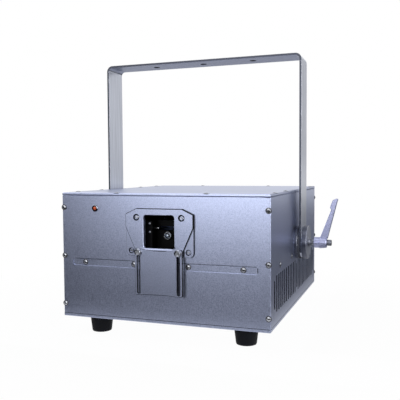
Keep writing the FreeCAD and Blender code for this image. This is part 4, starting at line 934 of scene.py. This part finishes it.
class BuildLamp(bpy.types.Operator):
    """Turn the indicator lamp's bezel and domed lens"""
    bl_idname = "projector.lamp"
    bl_label = "Indicator lamp"

    def execute(self, context):
        segments = context.scene.projector_edges.turned_segments
        low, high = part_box("lamp_bezel")
        centre = middle("lamp_bezel")
        radius = (high.x - low.x) / 2
        bore = 3.55 * MM
        funnel = radius * 0.67
        deep = high.y - low.y
        place = (centre.x, high.y, centre.z)
        ring = [(0, bore), (0, radius), (deep * 0.35, radius), (deep * 0.8, radius * 0.93),
                (deep, radius * 0.8), (deep, radius * 0.68), (deep * 0.7, bore)]
        bezel = bmesh.new()
        turned(bezel, ring, TO_FRONT, place, segments)

        def is_painted_dark(face):
            """False for the sloping ring, which catches the light. The rest is painted black: a painted
            reflection of the dark room.
            """
            offset = face.calc_center_median() - centre
            in_funnel = math.hypot(offset.x, offset.z) < funnel
            return in_funnel or not 0.3 < -face.normal.y < 0.95

        # Most of the bezel is painted black as a painted dark reflection.
        blacken(bezel, is_painted_dark)
        shown(bezel, "lamp_bezel")
        front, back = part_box("lamp_lens")
        lens = 3.1 * MM
        dome = 2.4 * MM
        profile = [(high.y - back.y, 0), (high.y - back.y, lens)]
        crown = high.y - front.y
        for angle in range(0, 90, 15):
            rise = math.radians(angle)
            profile.append((crown - dome + dome * math.sin(rise), lens * math.cos(rise)))
        profile.append((crown, 0))
        mesh = bmesh.new()
        turned(mesh, profile, TO_FRONT, place, segments // 2)
        shown(mesh, "lamp_lens")
        return {"FINISHED"}


class BuildFeet(bpy.types.Operator):
    """Mould the four rubber feet and put a bolt into each recess"""
    bl_idname = "projector.feet"
    bl_label = "Feet"

    def execute(self, context):
        segments = context.scene.projector_edges.turned_segments
        low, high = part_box("rubber_feet")
        top = 21.5 * MM
        base = 17.8 * MM
        recess = 8 * MM
        recess_floor = 22 * MM
        bolt_level = 17.9 * MM
        socket_radius = 2.6 * MM
        socket_depth = 2 * MM
        tall = high.z - low.z
        across = high.x - top
        along = 183.5 * MM
        foot = [(recess_floor, 0), (recess_floor, recess), (1 * MM, recess), (0, 9 * MM), (0, base - 2 * MM),
                (0.5 * MM, base - 0.6 * MM), (2 * MM, base), (tall - 1 * MM, top), (tall, top), (tall, 0)]
        bolt = [(-4 * MM, 4 * MM), (-3.6 * MM, 5 * MM), (-0.6 * MM, 5 * MM), (0, 4.3 * MM)]
        downwards = Matrix.Rotation(math.pi, 4, "X")
        feet = bmesh.new()
        bolts = bmesh.new()
        for x in (-across, across):
            for y in (-along, along):
                turned(feet, foot, Matrix.Identity(4), (x, y, low.z), segments)
                place = (x, y, low.z + bolt_level)
                socketed(bolts, bolt, socket_radius, socket_depth, downwards, place, segments=32)
        shown(feet, "rubber_feet")
        finished(bolts, "foot_bolts", "housing", "zinc_plate")
        return {"FINISHED"}


class BuildBracket(bpy.types.Operator):
    """Break the bracket's edges and those of the discs at its pivots"""
    bl_idname = "projector.bracket"
    bl_label = "U-bracket and pivots"

    def execute(self, context):
        edges = context.scene.projector_edges
        softened("u_bracket", edges.small, self.in_hole_shade)
        for node in ("pivot_spacers", "friction_washers", "clamp_discs"):
            softened(node, edges.plate)
        return {"FINISHED"}

    def in_hole_shade(self, face):
        """True for the walls of the rigging holes, painted black as the shade seen in them from below."""
        centre = face.calc_center_median()
        top_bar = 500 * MM
        half_bar = 180 * MM
        half_row = 20 * MM
        in_top = centre.z > top_bar and abs(centre.x) < half_bar and abs(centre.y) < half_row
        return in_top and abs(face.normal.z) < 0.5


class BuildLevers(bpy.types.Operator):
    """Cast the two clamping levers and turn the screws that they drive"""
    bl_idname = "projector.levers"
    bl_label = "Clamping levers"

    hub_start_radius: length("Hub, inner end", 10.3, "Radius of the hub next to the bracket")
    hub_step_radius: length("Hub, at the arm", 11.3, "Radius of the hub where the arm begins")
    hub_end_radius: length("Hub, outer end", 9.8, "Radius of the hub at its open end")
    arm_thickness: length("Arm thickness", 11, "Thickness of the lever's arm")

    def execute(self, context):
        edges = context.scene.projector_edges
        for label, side in SIDES.items():
            self.lever(f"{label}_lever", side, edges)
            self.clamp_screw(f"{label}_clamp_screw", side, edges.turned_segments)
        return {"FINISHED"}

    def lever(self, node, side, edges):
        """A hub in two steps, open at its outer end, and the arm that rises from it."""
        low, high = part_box(node)
        start = min(abs(low.x), abs(high.x))
        hub_length = 24 * MM
        bore = 6.5 * MM
        inner_bore = 5.3 * MM
        bore_floor = 11 * MM
        step = 10.3 * MM
        hub = [(0, inner_bore), (0, self.hub_start_radius - 0.8 * MM), (0.8 * MM, self.hub_start_radius),
               (step, self.hub_start_radius), (step + 0.5 * MM, self.hub_step_radius),
               (hub_length - 1.2 * MM, self.hub_end_radius), (hub_length, self.hub_end_radius - 1 * MM),
               (hub_length, bore + 0.4 * MM), (hub_length - 0.5 * MM, bore), (bore_floor, bore),
               (bore_floor, inner_bore)]
        mesh = bmesh.new()
        turned(mesh, hub, outwards(side), (side * start, 0, PIVOT_Z), edges.turned_segments)
        # The arm's outline, in millimetres out from the hub's inner end and up from the pivot
        outline = [(10.9, 7.5), (25.4, 7.5), (43.5, 79), (45, 83.5), (42, 85), (35.3, 82), (29.8, 67.7),
                   (32.7, 64.2)]
        flat = [(side * (start + x * MM), z * MM) for x, z in outline]
        arm = bmesh.new()
        extruded(arm, flat, TO_FRONT, (0, self.arm_thickness / 2, PIVOT_Z), self.arm_thickness)
        joined(mesh, break_edges(arm, edges.lever, CORNER_STEPS))
        shown(mesh, node)

    def clamp_screw(self, node, side, segments):
        """The stud through the pivot, its flange, and the socket screw that keeps the lever on."""
        low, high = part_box(node)
        head_height = 8 * MM
        start = min(abs(low.x), abs(high.x))
        head = max(abs(low.x), abs(high.x)) - head_height
        radius = 5 * MM
        head_radius = 5.8 * MM
        socket_radius = 3.2 * MM
        socket_depth = 4 * MM
        flange = 7.2 * MM
        flange_top = 2.4 * MM
        lift = 0.05 * MM
        soft = 0.6 * MM
        stud = [(0, 0), (0, radius - soft), (soft, radius), (head - start, radius), (head - start, 0)]
        ring = [(lift, radius), (lift, flange), (flange_top - soft, flange), (flange_top, flange - soft),
                (flange_top, radius)]
        cap = [(0, radius), (0.5 * MM, head_radius), (7.2 * MM, head_radius), (head_height, radius)]
        mesh = bmesh.new()
        turned(mesh, stud, outwards(side), (side * start, 0, PIVOT_Z), segments)
        turned(mesh, ring, outwards(side), (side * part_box("clamp_discs")[1].x, 0, PIVOT_Z), segments)
        place = (side * head, 0, PIVOT_Z)
        socketed(mesh, cap, socket_radius, socket_depth, outwards(side), place, segments)
        shown(mesh, node)


class BuildScanner(bpy.types.Operator):
    """Dress what shows through the window: scanner block, motors, and small screws"""
    bl_idname = "projector.scanner"
    bl_label = "Scanner"

    def execute(self, context):
        edges = context.scene.projector_edges
        for node in ("scanner_block", "scanner_motors"):
            softened(node, edges.small)
        shaft = middle("x_scan_mirror_shaft")
        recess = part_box("x_scan_mirror_shaft")[1].y
        hole = 1.9 * MM
        face = 4.4 * MM
        tall = 6 * MM
        profile = [(0, hole), (0, 7 * MM), (5.2 * MM, 7 * MM), (tall, 6.2 * MM), (tall, 5.4 * MM),
                   (face, 3.4 * MM), (face, hole)]
        ring = bmesh.new()
        turned(ring, profile, TO_FRONT, (shaft.x, recess, shaft.z), edges.turned_segments)
        # The recessed floor inside the ring is painted black as shade.
        blacken(ring, lambda part: abs(part.calc_center_median().y - recess + face) < NEAR)
        finished(ring, "motor_front_ring", "housing", "spring_steel")
        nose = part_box("scanner_block")[0].y
        spots = [((-24 * MM, nose, z * MM), (0, -1, 0)) for z in (203.3, 188.6, 150)]
        grown("scanner_screws", "screws", "zinc_plate", spots, screw_sizes(0.55))
        return {"FINISHED"}


class BuildRear(bpy.types.Operator):
    """Dress the rear panel: sockets, switches, display, buttons, fans and their contacts"""
    bl_idname = "projector.rear"
    bl_label = "Rear panel"

    rearwards = (0, 1, 0)

    def execute(self, context):
        edges = context.scene.projector_edges
        buttons = [f"menu_button_{step}" for step in range(1, 5)]
        for node in ("power_inlet", "inlet_pins", "power_switch_frame", "power_rocker", "key_switch_nut",
                     "key_barrel", "switch_key", "display_window", *buttons, "fan_frames"):
            softened(node, edges.small)
        for node in ("dmx_input", "dmx_output"):
            self.socket(node, edges.small, lambda at: math.hypot(at.x, at.z) < 9.45 * MM)
        for node in ("ilda_input", "ilda_output"):
            self.socket(node, edges.small, lambda at: abs(at.x) < 19.2 * MM and abs(at.z) < 3.75 * MM)
        self.round_contacts()
        self.row_contacts()
        self.flange_screws()
        return {"FINISHED"}

    def socket(self, node, width, is_inside):
        """A metal shell with a black insert, which is what lies inside the shell's opening."""
        centre = middle(node)
        softened(node, width, lambda face: all(is_inside(vert.co - centre) for vert in face.verts))

    def round_contacts(self):
        """Three pins in the lighting input's cup, and three holes in the output's core."""
        cup = middle("dmx_input")
        core = middle("dmx_output")
        circle = 4.6 * MM
        pins = []
        holes = []
        for angle in (150, 30, 270):
            x = circle * math.cos(math.radians(angle))
            z = circle * math.sin(math.radians(angle))
            pins.append(((cup.x + x, REAR - 11.5 * MM, cup.z + z), self.rearwards))
            holes.append(((core.x - x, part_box("dmx_output")[1].y, core.z + z), self.rearwards))
        grown("dmx_pins", "pins", "contact_brass", pins, {"Radius": 1.2 * MM, "Length": 10 * MM})
        grown("dmx_holes", "pins", "contact_brass", holes, {"Radius": 1.5 * MM, "Length": 0.05 * MM})

    def row_contacts(self):
        """Two rows of pins in the laser signal's input, and of holes in its output."""
        pitch = 2.76 * MM
        row_height = 1.42 * MM
        for node, name, depth, reach in (("ilda_input", "ilda_pins", 1.2 * MM, 4.4 * MM),
                                         ("ilda_output", "ilda_holes", 6.4 * MM, 0.05 * MM)):
            centre = middle(node)
            spots = []
            for row, count in ((1, 13), (-1, 12)):
                for step in range(count):
                    x = centre.x + (step - (count - 1) / 2) * pitch
                    spots.append(((x, REAR + depth, centre.z + row * row_height), self.rearwards))
            grown(name, "pins", "contact_brass", spots, {"Radius": 0.5 * MM, "Length": reach})

    def flange_screws(self):
        """Screws that hold the mains inlet, the round sockets and the fans."""
        inlet = middle("power_inlet")
        inlet_hole = 20 * MM
        flange = (9.6 * MM, 12.1 * MM)
        inlet_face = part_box("power_inlet")[1].y
        places = [(inlet.x + side * inlet_hole, inlet_face, inlet.z) for side in SIDES.values()]
        for node in ("dmx_input", "dmx_output"):
            centre = middle(node)
            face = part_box(node)[1].y
            for side in SIDES.values():
                places.append((centre.x + side * flange[0], face, centre.z - side * flange[1]))
        fan_low, fan_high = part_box("fan_frames")
        half_fan = 40 * MM
        fan_hole = 35.75 * MM
        level = (fan_low.z + fan_high.z) / 2
        for side in SIDES.values():
            fan_x = side * (fan_high.x - half_fan)
            for across in (-fan_hole, fan_hole):
                for rise in (-fan_hole, fan_hole):
                    places.append((fan_x + across, REAR, level + rise))
        spots = [(place, self.rearwards) for place in places]
        grown("rear_screws", "screws", "zinc_plate", spots, screw_sizes(0.68))


class BuildStudio(bpy.types.Operator):
    """Lay the floor, hang the lamps, light the room and place the camera"""
    bl_idname = "projector.studio"
    bl_label = "Studio"

    def execute(self, context):
        studio = context.scene.projector_studio
        self.world(studio)
        self.floor(studio)
        self.cards(studio)
        self.lamp("key_light", (-0.3, -2.0, 0.5), (-0.15, -0.2, 0.25), (1.3, 0.7), studio.key_power)
        self.lamp("top_light", (-0.6, -0.35, 2.2), (0, 0, 0.2), (1.6, 1.6), studio.fill_power)
        self.lamp("strip_light", (1.9, -0.85, 0.5), (0.19, -0.22, 0.2), (0.4, 0.8), studio.strip_power)
        self.camera(context.scene)
        context.scene.view_settings.view_transform = "Standard"
        return {"FINISHED"}

    def shown_white(self, tree):
        """One where a ray comes from the camera, a reflection or glass, and zero elsewhere."""
        path = add(tree, "ShaderNodeLightPath")
        direct = add(tree, "ShaderNodeMath", {
            0: path.outputs["Is Camera Ray"], 1: path.outputs["Is Glossy Ray"]}, operation="MAXIMUM")
        through = add(tree, "ShaderNodeMath", {
            0: direct.outputs[0], 1: path.outputs["Is Transmission Ray"]}, operation="MAXIMUM")
        return through.outputs[0]

    def world(self, studio):
        """A white room, which lights the object less than it shows."""
        world = bpy.data.worlds.new("white_room")
        bpy.context.scene.world = world
        tree = empty_tree(world)
        room = add(tree, "ShaderNodeBackground", {"Color": linear("#F4F6FF"), "Strength": studio.ambient})
        white = add(tree, "ShaderNodeBackground", {"Color": (1, 1, 1, 1), "Strength": 1.0})
        mix = add(tree, "ShaderNodeMixShader", {
            0: self.shown_white(tree), 1: room.outputs[0], 2: white.outputs[0]})
        add(tree, "ShaderNodeOutputWorld", {"Surface": mix.outputs[0]})

    def floor(self, studio):
        """Seamless white paper. Its own white covers most of the shading, and all of it far off."""
        material = bpy.data.materials.new("white_paper_sweep")
        tree = empty_tree(material)
        paper = add(tree, "ShaderNodeBsdfDiffuse", {"Color": linear("#F2F2F4")})
        glow = add(tree, "ShaderNodeEmission", {"Color": (1, 1, 1, 1), "Strength": 1.0})
        where = add(tree, "ShaderNodeTexCoord")
        distance = add(tree, "ShaderNodeVectorMath", {0: where.outputs["Object"]}, operation="LENGTH")
        far = add(tree, "ShaderNodeMapRange", {
            "Value": distance.outputs["Value"], "From Min": 0.3, "From Max": 0.7,
            "To Min": studio.floor_white, "To Max": 1.0})
        share = add(tree, "ShaderNodeMath", {0: self.shown_white(tree), 1: far.outputs["Result"]},
                    operation="MULTIPLY")
        mix = add(tree, "ShaderNodeMixShader", {0: share.outputs[0], 1: paper.outputs[0], 2: glow.outputs[0]})
        add(tree, "ShaderNodeOutputMaterial", {"Surface": mix.outputs[0]})
        reach = 9
        corners = [(-reach, -reach, 0), (reach, -reach, 0), (reach, reach, 0), (-reach, reach, 0)]
        self.sheet("floor", corners, material)

    def cards(self, studio):
        """Grey cards beside the picture, which the bare metal mirrors.

        They lie on the table, and stand upright at the left and far off.
        """
        lift = 0.002
        places = {
            "front_card": (studio.front_shade, [
                (-2.6, -0.25, lift), (-2.6, -3.2, 0.25), (1.4, -3.2, 0.25), (1.4, -0.36, lift)]),
            "right_card": (studio.right_shade, [
                (0.235, -0.2, lift), (2.2, -0.2, lift), (3.5, 4.5, lift), (0.235, 4.5, lift)]),
            "left_card": (studio.left_shade, [
                (-1.2, -2.3, lift), (-2.6, -0.3, lift), (-2.6, -0.3, 1.1), (-1.2, -2.3, 1.1)]),
            "rear_card": (studio.rear_shade, [
                (-3.5, 0.5, lift), (0.2, 0.5, lift), (0.2, 6.5, lift), (-3.5, 6.5, lift)]),
            "far_card": (studio.right_shade, [
                (0.3, 3.2, 0.3), (0.95, 3.2, 0.3), (0.95, 3.2, 1.3), (0.3, 3.2, 1.3)]),
        }
        for name, (shade, corners) in places.items():
            material = bpy.data.materials.new(name)
            tree = empty_tree(material)
            glow = add(tree, "ShaderNodeEmission", {"Color": linear("#E8ECFF"), "Strength": shade})
            add(tree, "ShaderNodeOutputMaterial", {"Surface": glow.outputs[0]})
            card = self.sheet(name, corners, material)
            card.visible_camera = False
            card.visible_shadow = False

    def sheet(self, name, corners, material):
        """A flat sheet that belongs to the studio."""
        data = bpy.data.meshes.new(name)
        data.from_pydata(corners, [], [(0, 1, 2, 3)])
        data.materials.append(material)
        sheet = new_object(name, data)
        return sheet

    def lamp(self, name, place, target, size, power):
        """A soft box of a width and height, aimed at a target."""
        data = bpy.data.lights.new(name, "AREA")
        data.shape = "RECTANGLE"
        data.size, data.size_y = size
        data.energy = power
        lamp = new_object(name, data)
        lamp.location = place
        lamp.rotation_euler = (Vector(target) - Vector(place)).to_track_quat("-Z", "Y").to_euler()

    def camera(self, scene):
        """The picture's camera, solved from the corners of the case, the bracket and the feet."""
        place = Vector((0.3943, -1.1315, 0.2945))
        yaw = math.radians(19.64)
        pitch = math.radians(2.94)
        roll = math.radians(-0.37)
        focal_pixels = 585.2
        picture_width = 400
        forward = Vector((
            -math.sin(yaw) * math.cos(pitch), math.cos(yaw) * math.cos(pitch), -math.sin(pitch)))
        level = Vector((math.cos(yaw), math.sin(yaw), 0))
        upright = level.cross(forward)
        right = math.cos(roll) * level + math.sin(roll) * upright
        up = math.cos(roll) * upright - math.sin(roll) * level
        data = bpy.data.cameras.new("picture_camera")
        data.sensor_width = 36
        data.lens = data.sensor_width * focal_pixels / picture_width
        data.clip_start = 0.01
        camera = new_object("picture_camera", data)
        turn = Matrix((right, up, -forward)).transposed()
        camera.matrix_world = Matrix.Translation(place) @ turn.to_4x4()
        scene.camera = camera


class ProjectorPanel(bpy.types.Panel):
    """Lists the steps that dress the projector, and their settings"""
    bl_idname = "VIEW3D_PT_projector"
    bl_label = "Laser show projector"
    bl_space_type = "VIEW_3D"
    bl_region_type = "UI"
    bl_category = "Projector"

    def draw(self, context):
        for step in STEPS:
            self.layout.operator(step.bl_idname)
        for settings in GROUPS:
            self.layout.label(text=settings)
            group = getattr(context.scene, settings)
            for name in group.__annotations__:
                self.layout.prop(group, name)


STEPS = (BuildFinishes, BuildCase, BuildCaseScrews, BuildAperture, BuildLamp, BuildFeet, BuildBracket,
         BuildLevers, BuildScanner, BuildRear, BuildStudio)
GROUPS = {
    "projector_edges": ProjectorEdges,
    "projector_screws": ProjectorScrews,
    "projector_colours": ProjectorColours,
    "projector_studio": ProjectorStudio,
}


def register():
    for settings in GROUPS.values():
        bpy.utils.register_class(settings)
    for name, settings in GROUPS.items():
        setattr(bpy.types.Scene, name, PointerProperty(type=settings))
    for step in STEPS:
        bpy.utils.register_class(step)
    bpy.utils.register_class(ProjectorPanel)


def unregister():
    bpy.utils.unregister_class(ProjectorPanel)
    for step in reversed(STEPS):
        bpy.utils.unregister_class(step)
    for name in GROUPS:
        delattr(bpy.types.Scene, name)
    for settings in GROUPS.values():
        bpy.utils.unregister_class(settings)


def main():
    register()
    for step in STEPS:
        family, name = step.bl_idname.split(".")
        getattr(getattr(bpy.ops, family), name)()


if __name__ == "__main__":
    main()
